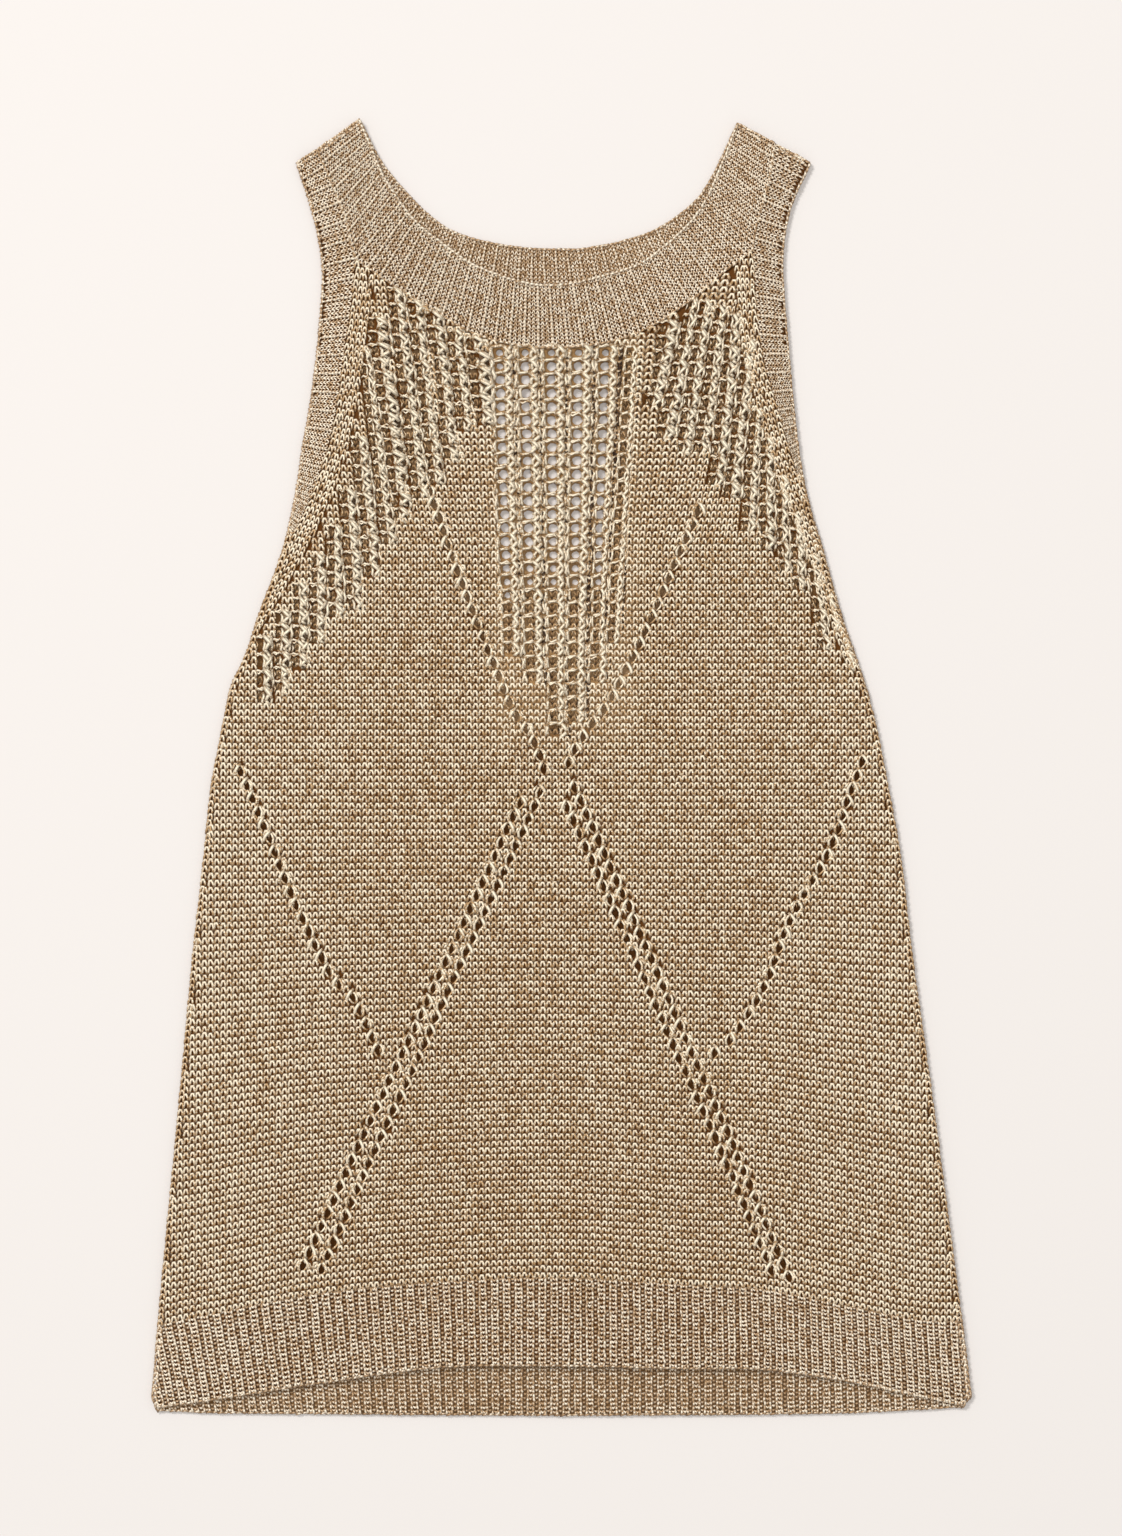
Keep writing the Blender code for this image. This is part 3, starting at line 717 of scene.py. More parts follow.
def yarn_material(name, painted_shade, body, painted_highlight, roughness, metallic, sheen):
    """The finish of a yarn: its painted shade in the gaps, its colour on the strands, and its painted
    highlight colour.
    """
    material = bpy.data.materials.new(name)
    material.use_nodes = True
    tree = material.node_tree
    shader = tree.nodes["Principled BSDF"]
    shader.inputs["Metallic"].default_value = metallic
    shader.inputs["Specular IOR Level"].default_value = 0.5 if metallic else 0.15
    shader.inputs["Sheen Weight"].default_value = sheen
    shader.inputs["Sheen Roughness"].default_value = 0.4
    place = tree.nodes.new("ShaderNodeTexCoord")
    yarn = tree.nodes.new("ShaderNodeGroup")
    yarn.node_tree = YARN_GROUP
    tree.links.new(place.outputs["Object"], yarn.inputs["Place"])
    for label, value in (("Painted Shade", painted_shade), ("Body", body), ("Painted Highlight", painted_highlight)):
        yarn.inputs[label].default_value = (*value, 1.0)
    yarn.inputs["Base Roughness"].default_value = roughness
    tone = tree.nodes.new("ShaderNodeAttribute")
    tone.attribute_name = "shade"
    tree.links.new(tone.outputs["Fac"], yarn.inputs["Tone"])
    tree.links.new(yarn.outputs["Colour"], shader.inputs["Base Color"])
    tree.links.new(yarn.outputs["Roughness"], shader.inputs["Roughness"])
    relief = tree.nodes.new("ShaderNodeBump")
    relief.inputs["Strength"].default_value = 0.25
    relief.inputs["Distance"].default_value = 0.0003
    tree.links.new(yarn.outputs["Height"], relief.inputs["Height"])
    tree.links.new(relief.outputs["Normal"], shader.inputs["Normal"])
    return material


# Each yarn: painted shade in the gaps, its own colour on the strands, painted highlight colour, roughness,
# metallic, sheen.
YARNS = {
    "panel_knit": yarn_material("panel_yarn", (0.120, 0.044, 0.009), (0.555, 0.350, 0.168),
                                (1.0, 0.87, 0.67), 0.32, 0.3, 0.06),
    "rib_knit": yarn_material("rib_yarn", (0.120, 0.046, 0.011), (0.550, 0.358, 0.195),
                              (1.0, 0.88, 0.71), 0.34, 0.3, 0.06),
}
# The ground cloths are coloured as painted shade, dark in the gaps between the stitches.
FRONT_GROUND = yarn_material("front_ground_knit", (0.105, 0.037, 0.005), (0.44, 0.265, 0.115),
                             (0.62, 0.46, 0.28), 0.7, 0.0, 0.0)
BACK_GROUND = yarn_material("back_ground_knit", (0.105, 0.038, 0.006), (0.54, 0.36, 0.195),
                            (0.74, 0.58, 0.41), 0.7, 0.0, 0.0)


# The chart

random = np.random.default_rng(SEED)


def mesh_holes():
    """Every hole of the openwork.

    x and y are its middle, lean is that of its column, pitch and step are the width and height of
    its repeat, row is its number in its column, and its own yarn reaches left, right, down and up
    to top. The rows numbered below 0 carry on a column towards the neckband with smaller holes.
    """
    rows = []
    for column, (x0, y0, x1, y1, count, width, height, pitch) in enumerate(MESH_COLUMNS):
        step = (y0 - y1) / (count - 1)
        lean = (x0 - x1) / (y0 - y1)
        in_middle = column < MIDDLE_COLUMNS
        left = -width / 2.0 - (1.0 if in_middle else 0.1)
        right = 0.5 * pitch + 0.6 if in_middle else 0.68 * pitch
        for row in range(-2 if y0 > NEAR_NECKBAND else 0, count):
            share = row / (count - 1)
            down = height / 2.0 - 0.6 if row == count - 1 else step / 2.0 + 0.1
            rows.append((x0 + (x1 - x0) * share, y0 + (y1 - y0) * share, lean, width, height, pitch,
                         step, column, row, left, right, -down, step / 2.0 + 0.1))
    holes = np.rec.fromrecords(rows, names="x,y,lean,width,height,pitch,step,column,row,left,right,down,top")
    holes = holes[inside(np.column_stack((holes.x, holes.y + 2.0)), panel_outline(FRONT))]
    for hole in holes:
        gaps = holes.x[np.abs(holes.y - hole.y) < hole.step * 0.55] - hole.x
        gaps = gaps[(gaps > 5.5) & (gaps < hole.pitch * 1.4)]
        if len(gaps):
            hole.pitch = gaps.min()
            hole.right = hole.pitch - hole.width / 2.0 - 0.2
    return holes


def line_eyelets():
    """Every eyelet of the slanted lines: its middle and the slope of its line."""
    rows = []
    for line in EYELET_LINES:
        curve = smooth(line)[::-1]
        ups = np.arange(curve[0, 1] + 3.0, curve[-1, 1], EYELET_PITCH)
        across = np.interp(ups, curve[:, 1], curve[:, 0])
        rows += list(zip(across, ups, np.gradient(across, ups)))
    return np.rec.fromrecords(rows, names="x,y,slope")


def hole_loop(across, up, width, height, lean=0.0, count=10):
    """The edge of a hole, a little uneven as knitted holes are."""
    turns = (np.arange(count) + random.uniform(-0.25, 0.25, count)) / count * 2.0 * np.pi
    reach = random.uniform(0.86, 1.08, count)
    y = height / 2.0 * np.sin(turns) * reach
    return np.column_stack((across + width / 2.0 * np.cos(turns) * reach + lean * y, up + y))


HOLES = mesh_holes()
OPEN_BEHIND = (HOLES.column < MIDDLE_COLUMNS - 1) & (HOLES.row < BACK_ROWS)
EYELETS = line_eyelets()


def outside_oval(points, half_size):
    """Which points lie outside an oval round zero."""
    return ((points / half_size) ** 2).sum(axis=1) > 1.0


def stockinette(outline, strips):
    """The places and directions of the plain stitches of the front panel."""
    lean_at = np.array(WALE_LEAN)
    wales, rows = np.arange(-WALES, WALES + 1), np.arange(COURSES)
    start, level = np.meshgrid(wales * WALE, HEM_MIDDLE + (rows + 0.1) * COURSE)
    start, level = start.ravel(), level.ravel()

    def place(start, level):
        across = start + np.interp(start, lean_at[:, 0], lean_at[:, 1]) * np.maximum(0.0, level - LEAN_LEVEL)
        arch = hem_edge(np.clip(place_of(across), -1.0, 1.0), FRONT["hem_top"]) - HEM_MIDDLE
        fade = np.clip((ARCH_TOP - level) / (ARCH_TOP - HEM_MIDDLE), 0.0, 1.0)
        return np.column_stack((across, level + arch * fade * fade * (3.0 - 2.0 * fade)))

    origins = place(start, level)
    across = (place(start + 0.5 * WALE, level) - place(start - 0.5 * WALE, level)) / WALE
    along = (place(start, level + COURSE) - origins) / COURSE
    middles = origins + along * COURSE / 2.0
    x, y = middles[:, 0], middles[:, 1]
    keep = inside(middles, outline)
    keep &= (x > side_reach("left", y) + EDGE_WALE) & (x < side_reach("right", y) - EDGE_WALE)
    for strip in strips:
        keep &= ~strip_covers(strip, middles)
    for hole in HOLES:
        u, v = x - hole.x - hole.lean * (y - hole.y), y - hole.y
        keep &= ~((u > hole.left) & (u < hole.right) & (v > hole.down) & (v < hole.top))
    for eyelet in EYELETS:
        keep &= outside_oval(middles - (eyelet.x, eyelet.y), EYELET_CLEAR)
        keep &= outside_oval(origins - (eyelet.x, eyelet.y + 0.8), FOOT_CLEAR)
    return origins[keep], across[keep], along[keep]


def back_stitches():
    """The places and directions of the back's stitches that show through the front's openwork."""
    outline = panel_outline(BACK)
    places = [(round(hole.x / WALE + shift) * WALE, round(hole.y / COURSE + rise) * COURSE)
              for hole in HOLES[~OPEN_BEHIND] for shift in (-0.5, 0.5) for rise in (-1.1, -0.1)]
    origins = np.unique(np.array(places), axis=0)
    origins = origins[inside(origins, outline)]
    up = np.tile((0.0, 1.0), (len(origins), 1))
    return origins, -turned(up), up


def strip_line(side):
    end = LEFT_STRIP_END if side == "left" else RIGHT_STRIP_END
    return even(smooth(FRONT["armholes"][side] + end), 2.0)


def strip_covers(line, points):
    """Which points lie on the wales beside an armhole."""
    away = np.linalg.norm(points[:, None] - line[None], axis=2)
    past_end = (points - line[-1]) @ (line[-1] - line[-2]) > 0.0
    past_end &= away.argmin(axis=1) == len(line) - 1
    return (away.min(axis=1) < STRIP_WALES * STRIP_WALE + 0.8) & ~past_end


def yoke_stitches(yarn):
    """The yarn of the openwork: braided chains beside the holes and rungs between them."""
    in_middle = HOLES.column < MIDDLE_COLUMNS
    for holes, strands, repeat in ((HOLES[in_middle], MIDDLE_STRANDS, REPEATS["middle"]),
                                   (HOLES[~in_middle], SIDE_STRANDS, REPEATS["side"])):
        middle = np.column_stack((holes.x, holes.y))
        out = np.column_stack((holes.pitch / repeat, np.zeros(len(holes))))
        up = np.column_stack((holes.lean, np.ones(len(holes)))) * (holes.step / REPEAT_STEP)[:, None]
        for path, wide, high, lift, shade in strands:
            yarn.add(strand(path, wide, high), middle, out, up, shade, lift, jitter=0.3)


def side_wale(yarn, side, low, high):
    """One wale along a side fold, so that its edge is smooth."""
    line = even(side_line(side, low, high), COURSE)
    up = directions(line)
    across = -turned(up)
    inward = 1.0 if side == "left" else -1.0
    yarn.add(STITCH, line + across * inward * 1.25, across * 0.95, up, SIDE_FOLD_SHADES, jitter=0.06,
             overhang=1.4)


def eyelet_stitches(yarn):
    """The yarn round the eyelets of the slanted lines."""
    middle = np.column_stack((EYELETS.x, EYELETS.y))
    side = np.sign(EYELETS.slope)
    out = np.column_stack((side, np.zeros(len(side))))
    up = np.column_stack((0.14 * side, np.ones(len(side))))
    for path, wide, high, lift, shade in EYELET_STRANDS:
        yarn.add(strand(path, wide, high), middle, out, up, shade, lift, jitter=0.18)


# The strands of one repeat of the openwork in the middle, its hole in the middle of it.
# path, width, height, lift, lightness
MIDDLE_STRANDS = (
    # The first strand is a flat dark strip, a painted shadow down the column beside each chain.
    (((7.35, 3.5, 0.0), (7.25, 0.0, 0.05), (7.35, -3.5, 0.0)), 2.4, 0.15, 0.1, (0.1, 0.4)),
    (((5.8, 2.6, 0.0), (7.2, 1.7, 0.3), (8.8, 2.8, 0.0)), 1.2, 0.4, 0.2, (0.57, 1.15)),
    (((5.8, -0.8, 0.0), (7.2, -1.7, 0.3), (8.8, -0.6, 0.0)), 1.2, 0.4, 0.2, (0.57, 1.15)),
    (((5.7, 3.5, 0.0), (4.7, 1.9, 0.4), (3.0, 0.2, 0.5), (2.8, -1.6, 0.4), (4.4, -3.5, 0.0)), 1.5, 0.6, 0.15,
     (0.77, 1.17)),
    (((1.9, 4.0, 0.1), (3.4, 2.4, 0.8), (5.0, 0.6, 1.0), (5.6, -0.8, 0.6)), 1.8, 0.7, 0.3, (0.87, 1.19)),
    (((5.6, 0.3, 0.2), (5.1, -1.4, 0.8), (3.5, -2.9, 0.8), (2.0, -3.7, 0.2)), 1.6, 0.65, 0.25, (0.82, 1.17)),
    (((-4.7, 2.0, 0.0), (-2.7, 3.2, 0.3), (-0.2, 3.3, 0.4), (2.3, 3.9, 0.2)), 1.1, 0.45, 0.15, (0.82, 1.17)),
    (((-4.7, 4.0, 0.0), (-2.2, 2.7, 0.4), (0.6, 3.9, 0.4), (2.6, 2.5, 0.1)), 1.0, 0.45, 0.1, (0.62, 1.17)),
    (((-3.2, 3.5, 0.1), (-4.1, 1.2, 0.5), (-3.8, -1.2, 0.5), (-3.0, -3.4, 0.1)),
     1.4, 0.5, 0.15, (0.75, 1.15)),
    (((-5.2, 2.9, 0.0), (-4.0, 0.6, 0.6), (-4.9, -1.9, 0.5), (-3.9, -3.6, 0.0)),
     1.4, 0.5, 0.2, (0.67, 1.12)),
    (((1.6, -2.2, 0.1), (2.8, -0.6, 0.5), (1.9, 1.4, 0.1)), 0.9, 0.4, 0.1, (0.75, 1.15)),
    (((6.4, 3.2, 0.1), (6.0, 0.6, 0.5), (6.5, -1.4, 0.4), (5.4, -3.3, 0.1)), 1.3, 0.5, 0.15, (0.67, 1.12)),
)
# The same for the openwork beside the armholes, whose chains are bolder and whose holes are narrow.
SIDE_STRANDS = (
    # The first strand is a wide dark strip, a painted shadow behind the chains.
    (((4.3, 3.5, 0.0), (4.3, -3.5, 0.0)), 4.0, 0.15, 0.05, (0.3, 0.55)),
    (((1.8, 3.9, 0.2), (3.1, 2.5, 0.9), (4.7, 1.0, 1.0), (5.9, -0.8, 0.4)), 1.6, 0.7, 0.3, (0.98, 1.22)),
    (((6.2, 2.6, 0.2), (5.2, 0.9, 0.8), (3.7, -0.6, 0.9), (2.5, -2.4, 0.3)), 1.4, 0.65, 0.25, (0.88, 1.2)),
    (((3.4, 4.1, 0.1), (4.4, 2.9, 0.6), (5.9, 1.9, 0.5)), 1.3, 0.6, 0.2, (0.88, 1.2)),
    (((2.9, -0.4, 0.0), (3.4, -1.9, 0.6), (4.9, -2.9, 0.5)), 1.3, 0.6, 0.2, (0.88, 1.2)),
    (((2.0, 1.9, 0.0), (2.6, 0.2, 0.5), (2.1, -1.6, 0.4), (2.9, -3.4, 0.1)), 1.2, 0.55, 0.2, (0.84, 1.2)),
    (((6.5, 3.5, 0.1), (6.0, 1.2, 0.5), (6.6, -1.0, 0.5), (5.9, -3.4, 0.1)), 1.2, 0.55, 0.2, (0.82, 1.2)),
    (((-2.5, 2.7, 0.0), (-0.8, 3.5, 0.4), (0.9, 2.9, 0.4), (2.3, 3.8, 0.1)), 0.9, 0.5, 0.1, (0.82, 1.2)),
    (((-2.3, 3.8, 0.0), (-0.6, 2.6, 0.4), (1.0, 3.7, 0.3), (2.2, 2.5, 0.1)), 0.8, 0.45, 0.05, (0.57, 1.07)),
    (((-1.9, 1.6, 0.0), (-1.1, 0.0, 0.3), (-1.9, -1.8, 0.0)), 0.8, 0.4, 0.0, (0.57, 1.07)),
)
# The strands round one eyelet of a line that leans to the right.
EYELET_STRANDS = (
    (((0.2, 3.5, 0.2), (-1.4, 2.3, 0.5), (-2.2, 0.2, 0.6), (-1.9, -1.8, 0.4), (-0.9, -3.2, 0.1)),
     1.2, 0.65, 0.15,
     (0.6, 1.1)),
    (((-1.0, 4.2, 0.3), (0.6, 2.8, 0.8), (2.0, 1.0, 1.0), (2.9, -0.9, 0.6), (3.0, -2.3, 0.1)),
     1.4, 0.8, 0.25,
     (0.8, 1.15)),
    (((2.3, 0.8, 0.2), (2.0, -1.2, 0.5), (0.9, -2.8, 0.3), (-0.4, -3.7, 0.1)), 1.0, 0.6, 0.1, (0.4, 1.0)),
    (((-3.7, -0.4, 0.2), (-2.9, 1.4, 0.7), (-1.8, 3.0, 0.4)), 1.2, 0.7, 0.15, (0.6, 1.1)),
    (((-0.9, 2.6, 0.1), (0.2, 1.6, 0.3), (0.4, 0.4, 0.1)), 0.6, 0.4, -0.2, (0.2, 0.8)),
)


def band_lines(layer, side):
    """The open edge of an armhole band and its seam, both from the shoulder down."""
    seam = joined(smooth(layer["shoulders"][side]), smooth(layer["armholes"][side]))
    edge = side_line(side, layer["band_ends"][side], SIDES[-1][0])[::-1]
    return edge, seam


def neckband_lines(layer):
    shoulders = layer["shoulders"]
    seam = joined(smooth(shoulders["left"]), smooth(layer["neck_seam"]), smooth(shoulders["right"])[::-1])
    return smooth(layer["neckline"]), seam


def grid_between(near, far, shares, depths):
    """Places between two lines with the directions along them and away from the near one."""
    def at(share, depth):
        inner = points_at(near, share * lengths_along(near)[-1])
        outer = points_at(far, share * lengths_along(far)[-1])
        return inner * (1.0 - depth)[:, None] + outer * depth[:, None]
    share, depth = (values.ravel() for values in np.meshgrid(shares, depths))
    small = 1e-3
    origins = at(share, depth)
    along = (at(np.clip(share + small, 0, 1), depth) - at(np.clip(share - small, 0, 1), depth)) / (2 * small)
    away = (at(share, depth + small) - origins) / small
    return origins, along, away


def shown(origins, along, away, over):
    """The places that are not well under another piece, given the line that it starts at."""
    if over is None:
        return origins, along, away
    gap = np.full(len(origins), 1e9)
    for point in over:
        gap = np.minimum(gap, np.linalg.norm(origins - point, axis=1))
    outline = np.vstack((over, ((over[-1][0], 0.0), (over[0][0], 0.0))))
    keep = (gap < UNDERLAP) | ~inside(origins, outline)
    return origins[keep], along[keep], away[keep]


def band_wales(yarn, near, far, pitch, rows, over=None):
    """A band's yarn: wales of small stitches from its edge to its seam, a light line between ribs."""
    ribs = round(lengths_along(far)[-1] / pitch)
    wales = round(pitch / SMALL_WALE)
    depths = (np.arange(rows) + 0.1) / rows
    for wale in range(wales):
        shares = (np.arange(ribs) + (wale + 0.5) / wales) / ribs
        origins, along, away = shown(*grid_between(near, far, shares, depths), over)
        yarn.add(SMALL_STITCH, origins, along / ribs / pitch, away / rows / SMALL_COURSE, SMALL_SHADES,
                 overhang=0.9)
    shares = np.arange(1, ribs) / ribs
    origins, along, away = shown(*grid_between(near, far, shares, depths), over)
    path = ((0.0, -0.2, 0.5), (0.1, SMALL_COURSE * 0.4, 0.7), (0.0, SMALL_COURSE * 1.15, 0.5))
    yarn.add(strand(path, 0.85, 0.6), origins, along / ribs / pitch, away / rows / SMALL_COURSE,
             RIB_LINE_SHADES, lift=0.25, jitter=0.1, overhang=0.9)
    return ribs


def edge_chain(yarn, line, step=2.4, lift=0.1, shade=EDGE_SHADES):
    """A row of small slanted loops that binds an edge."""
    length = lengths_along(line)[-1]
    points = points_at(line, np.arange(step * 0.7, length - step * 0.5, step))
    along = directions(points)
    loop = strand(((-step * 0.6, -0.25, 0.0), (-0.2, 0.25, 0.5), (step * 0.6, 0.3, 0.1)), 1.15, 0.6)
    yarn.add(loop, points, along, turned(along), shade, lift, overhang=1.4)


def end_chains(yarn, near, far, ends=(0, -1)):
    """Two rows of loops across each end of a band at the shoulder."""
    for end in ends:
        following = near[1] - near[0] if end == 0 else near[-2] - near[-1]
        inward = following / np.linalg.norm(following)
        for depth in (0.7, 2.3):
            line = np.array((near[end], far[end])) + inward * depth
            edge_chain(yarn, line, 2.2, 0.25)


def hem_ribs(yarn, layer, covered_by=None):
    """The hem's yarn: cups between two upright legs on each rib, and links over the grooves."""
    pitch, course = HEM_RIB, HEM_COURSE
    lean = np.array(HEM_LEAN)
    starts = np.arange(-HEM_REACH, HEM_REACH, pitch)
    rows = HEM_ROWS[layer["name"]]
    depths = np.arange(rows) / rows
    start, depth = (values.ravel() for values in np.meshgrid(starts, depths))

    def at(start, depth):
        across = start + (depth - 0.5) * HEM_HEIGHT * np.interp(start, lean[:, 0], lean[:, 1])
        place = np.clip(place_of(across), -1.0, 1.0)
        top, bottom = hem_edge(place, layer["hem_top"]), hem_edge(place, layer["hem_bottom"])
        return np.column_stack((across, top + (bottom - top) * depth))

    origins = at(start, depth)
    along = (at(start + 0.5, depth) - at(start - 0.5, depth))
    down = (at(start, depth + 1.0 / rows) - origins) / course
    if covered_by is not None:
        place = np.clip(place_of(origins[:, 0]), -1.0, 1.0)
        keep = origins[:, 1] < hem_edge(place, covered_by) + UNDERLAP
        origins, along, down = origins[keep], along[keep], down[keep]
    down = -down
    for share, tilt in ((-0.25, 0.12), (0.25, -0.12)):
        path = ((pitch * share - tilt, -course * 1.1, 0.3), (pitch * share + tilt, -course * 0.4, 0.75),
                (pitch * share, course * 0.15, 0.3))
        yarn.add(strand(path, 1.15, 0.65), origins, along, down, HEM_LEG_SHADES, lift=0.1, jitter=0.1)
    rung = strand(((-1.5, 0.15, 0.3), (0.0, -0.95, 0.75), (1.5, 0.15, 0.3)), 1.2, 0.65)
    yarn.add(rung, origins, along, down, HEM_RUNG_SHADES, jitter=0.1)
    link = strand(((-1.6, 0.2, 0.0), (0.0, -0.3, 0.25), (1.6, 0.2, 0.0)), 1.35, 0.5)
    yarn.add(link, origins + along * pitch / 2.0, along, down, HEM_LINK_SHADES, lift=-0.1, jitter=0.1)


def strip_stitches(yarn, side, outline):
    """The wales that run beside an armhole."""
    line = even(strip_line(side), STRIP_COURSE)
    down = directions(line)
    inward = turned(down) if side == "left" else -turned(down)
    for wale in range(STRIP_WALES):
        origins = line + inward * (wale + 0.55) * STRIP_WALE
        x, y = origins.T
        keep = inside(origins - down * 1.5, outline)
        keep &= (x > side_reach("left", y) + 1.8) & (x < side_reach("right", y) - 1.8)
        yarn.add(STITCH, origins[keep], inward[keep] * (1.0 if side == "left" else -1.0) * 0.8,
                 -down[keep] * STRIP_COURSE / COURSE * 1.05, ARMHOLE_WALE_SHADES, lift=0.1, jitter=0.25)


# One plain stitch: yarn that rises from both feet to a rounded top.
STITCH = strand(((-1.2, -1.25, -0.35), (-1.05, 0.7, 0.35), (-0.38, 2.3, 0.8), (0.38, 2.3, 0.8),
                 (1.05, 0.7, 0.35), (1.2, -1.25, -0.35)), 1.15, 0.8)
# The same for the small stitches of the neck and armhole bands.
SMALL_STITCH = strand(((-1.05, -0.75, 0.0), (-0.92, 0.2, 0.6), (-0.5, 1.15, 0.3), (0.5, 1.15, 0.3),
                       (0.92, 0.2, 0.6), (1.05, -0.75, 0.0)), 0.68, 0.6)


def declare_cloth(node):
    """Hide the imported node that a cloth stands for."""
    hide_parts(node)


def clear_of_each_other(holes):
    """The holes without those that would run into an earlier one."""
    kept, middles = [], []
    for loop in holes:
        middle, reach = loop.mean(axis=0), np.ptp(loop, axis=0) / 2.0
        clash = any((np.abs(middle - other) < reach + far + 0.15).all() for other, far in middles)
        if not clash:
            kept.append(loop)
            middles.append((middle, reach))
    return kept


def front_holes(outline):
    """The cut edges of the front's openwork and eyelets."""
    loops = []
    for hole in HOLES:
        size = 1.0 if hole.row >= 0 else FIRST_HOLES
        width, height = hole.width * size * FRONT_HOLE[0], hole.height * size * FRONT_HOLE[1]
        loops.append(hole_loop(hole.x, hole.y, width, height, hole.lean))
    for eyelet in EYELETS:
        loops.append(hole_loop(eyelet.x, eyelet.y, *EYELET_SIZE, 0.1 * np.sign(eyelet.slope)))
    return clear_of_each_other([loop for loop in loops if inside(loop, outline).all()])


def back_holes():
    """The cut edges of the back's openwork, which fades out on its way down."""
    loops = []
    for hole in HOLES[OPEN_BEHIND]:
        size = BACK_HOLE - NARROWING * max(0.0, hole.row - WIDE_ROWS) if hole.row >= 0 else FIRST_HOLES
        loops.append(hole_loop(hole.x, hole.y, hole.width * size, hole.height * size, hole.lean))
    return loops


def make_front():
    layer = FRONT
    outline = panel_outline(layer)
    cloth = cloth_shell("front_cloth", layer, outline, front_holes(outline), FRONT_GROUND)
    strips = [strip_line(side) for side in ("left", "right")]
    origins, across, along = stockinette(outline, strips)
    order = np.argsort(origins[:, 1], kind="stable")
    for label, part in zip(("low", "middle", "high"), np.array_split(order, 3)):
        yarn = Yarn(layer)
        yarn.add(STITCH, origins[part], across[part], along[part], PLAIN_SHADES)
        yarn.piece("front_stitches_" + label, "panel_knit")
    yarn = Yarn(layer)
    yoke_stitches(yarn)
    yarn.piece("front_openwork", "panel_knit")
    yarn = Yarn(layer)
    eyelet_stitches(yarn)
    for side in ("left", "right"):
        strip_stitches(yarn, side, outline)
        hem_corner = hem_line(layer["hem_top"])[0 if side == "left" else -1]
        side_wale(yarn, side, hem_corner[1], layer["band_ends"][side])
    yarn.piece("front_eyelets_and_armhole_wales", "panel_knit")
    declare_cloth("front")


def make_back():
    layer = BACK
    outline = panel_outline(layer)
    cloth = cloth_shell("back_cloth", layer, outline, back_holes(), BACK_GROUND)
    yarn = Yarn(layer)
    yarn.add(STITCH, *back_stitches(), BACK_PAINTED_SHADES)
    stitches = yarn.piece("back_stitches", "panel_knit")
    declare_cloth("back")


def finish_band(yarn, name, near, far, ribs):
    """A band's yarn as one piece, and its ribbed cloth between two lines."""
    stitches = yarn.piece(name + "_ribs", "rib_knit")
    cloth = band_shell(name + "_cloth", yarn.layer, near, far, ribs)
    declare_cloth(name)


def make_neckband(layer):
    near, far = neckband_lines(layer)
    yarn = Yarn(layer)
    over = smooth(FRONT_NECKLINE) if layer is BACK else None
    ribs = band_wales(yarn, near, far, NECK_RIB, NECK_ROWS, over)
    edge_chain(yarn, near, 2.4, 0.7, NECK_EDGE_SHADES[layer["name"]])
    edge_chain(yarn, far, 3.0, 0.2)
    end_chains(yarn, near, far)
    finish_band(yarn, "neckband_" + layer["name"], near, far, ribs)


def make_armhole_band(layer, side):
    near, far = band_lines(layer, side)
    yarn = Yarn(layer)
    ribs = round(lengths_along(far)[-1] / ARMHOLE_RIB)
    if layer is FRONT:
        band_wales(yarn, near, far, ARMHOLE_RIB, ARMHOLE_ROWS)
        end_chains(yarn, near, far, (0,))
    edge_chain(yarn, near, 2.4)
    name = "armhole_band_" + side + "_" + layer["name"]
    finish_band(yarn, name, near, far, ribs)


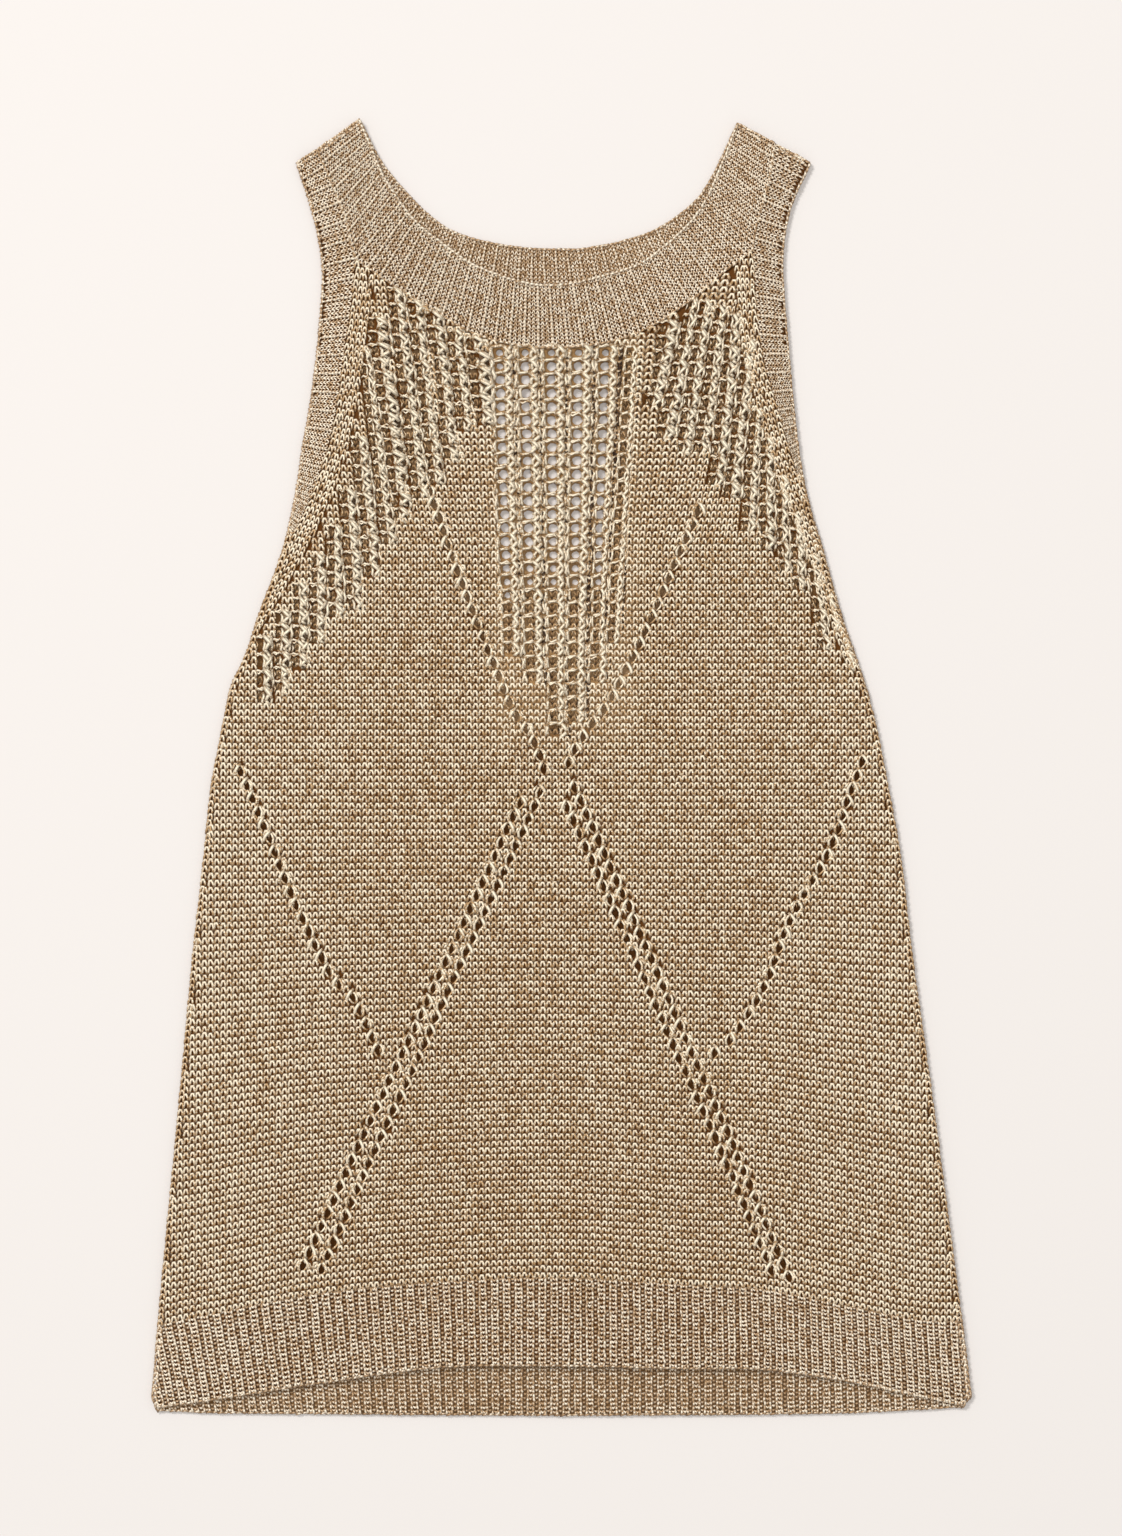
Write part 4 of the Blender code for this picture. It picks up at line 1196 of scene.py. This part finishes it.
def make_hem(layer, covered_by=None):
    top, bottom = hem_line(layer["hem_top"]), hem_line(layer["hem_bottom"])
    yarn = Yarn(layer)
    hem_ribs(yarn, layer, covered_by)
    edge_chain(yarn, bottom, 3.0)
    for side, end in (("left", 0), ("right", -1)):
        side_wale(yarn, side, bottom[end][1], top[end][1])
    ribs = round(lengths_along(bottom)[-1] / HEM_RIB)
    finish_band(yarn, "hem_" + layer["name"], top, bottom, ribs)


def make_floor():
    bpy.ops.object.select_all(action="DESELECT")
    bpy.ops.mesh.primitive_plane_add(size=8.0, location=(0.0, 0.0, -0.0001))
    floor = bpy.context.object
    floor.name = "floor"
    material = bpy.data.materials.new("pale_floor")
    material.use_nodes = True
    shader = material.node_tree.nodes["Principled BSDF"]
    shader.inputs["Base Color"].default_value = (0.765, 0.733, 0.717, 1.0)
    shader.inputs["Roughness"].default_value = 0.9
    shader.inputs["Specular IOR Level"].default_value = 0.1
    floor.data.materials.append(material)
    return floor


def make_light(name, place, size, power, colour):
    data = bpy.data.lights.new(name, "AREA")
    data.shape, data.size, data.energy, data.color = "DISK", size, power, colour
    light = bpy.data.objects.new(name, data)
    light.location = place
    light.rotation_euler = (-Vector(place)).to_track_quat("-Z", "Y").to_euler()
    bpy.context.scene.collection.objects.link(light)


def make_studio():
    scene = bpy.context.scene
    world = bpy.data.worlds.new("studio")
    world.use_nodes = True
    world.node_tree.nodes["Background"].inputs["Color"].default_value = (1.0, 0.985, 0.955, 1.0)
    world.node_tree.nodes["Background"].inputs["Strength"].default_value = 0.45
    scene.world = world
    make_light("window", (-3.0, 3.0, 5.0), 2.0, 265.0, (1.0, 0.98, 0.95))
    make_light("overhead", (0.4, 0.2, 5.0), 1.8, 80.0, (1.0, 0.99, 0.97))
    data = bpy.data.cameras.new("camera")
    data.lens, data.sensor_width = 90.0, 36.0
    camera = bpy.data.objects.new("camera", data)
    frame_height = 1536 * 0.5 * MM
    camera.location = (-0.00025, -0.0004, frame_height / 2.0 / (data.sensor_width / 2.0 / data.lens))
    scene.collection.objects.link(camera)
    scene.camera = camera
    scene.view_settings.view_transform = "Standard"


floor = make_floor()
make_studio()
make_back()
make_front()
make_neckband(BACK)
make_neckband(FRONT)
for side in ("left", "right"):
    make_armhole_band(BACK, side)
    make_armhole_band(FRONT, side)
make_hem(BACK, covered_by=2)
make_hem(FRONT)
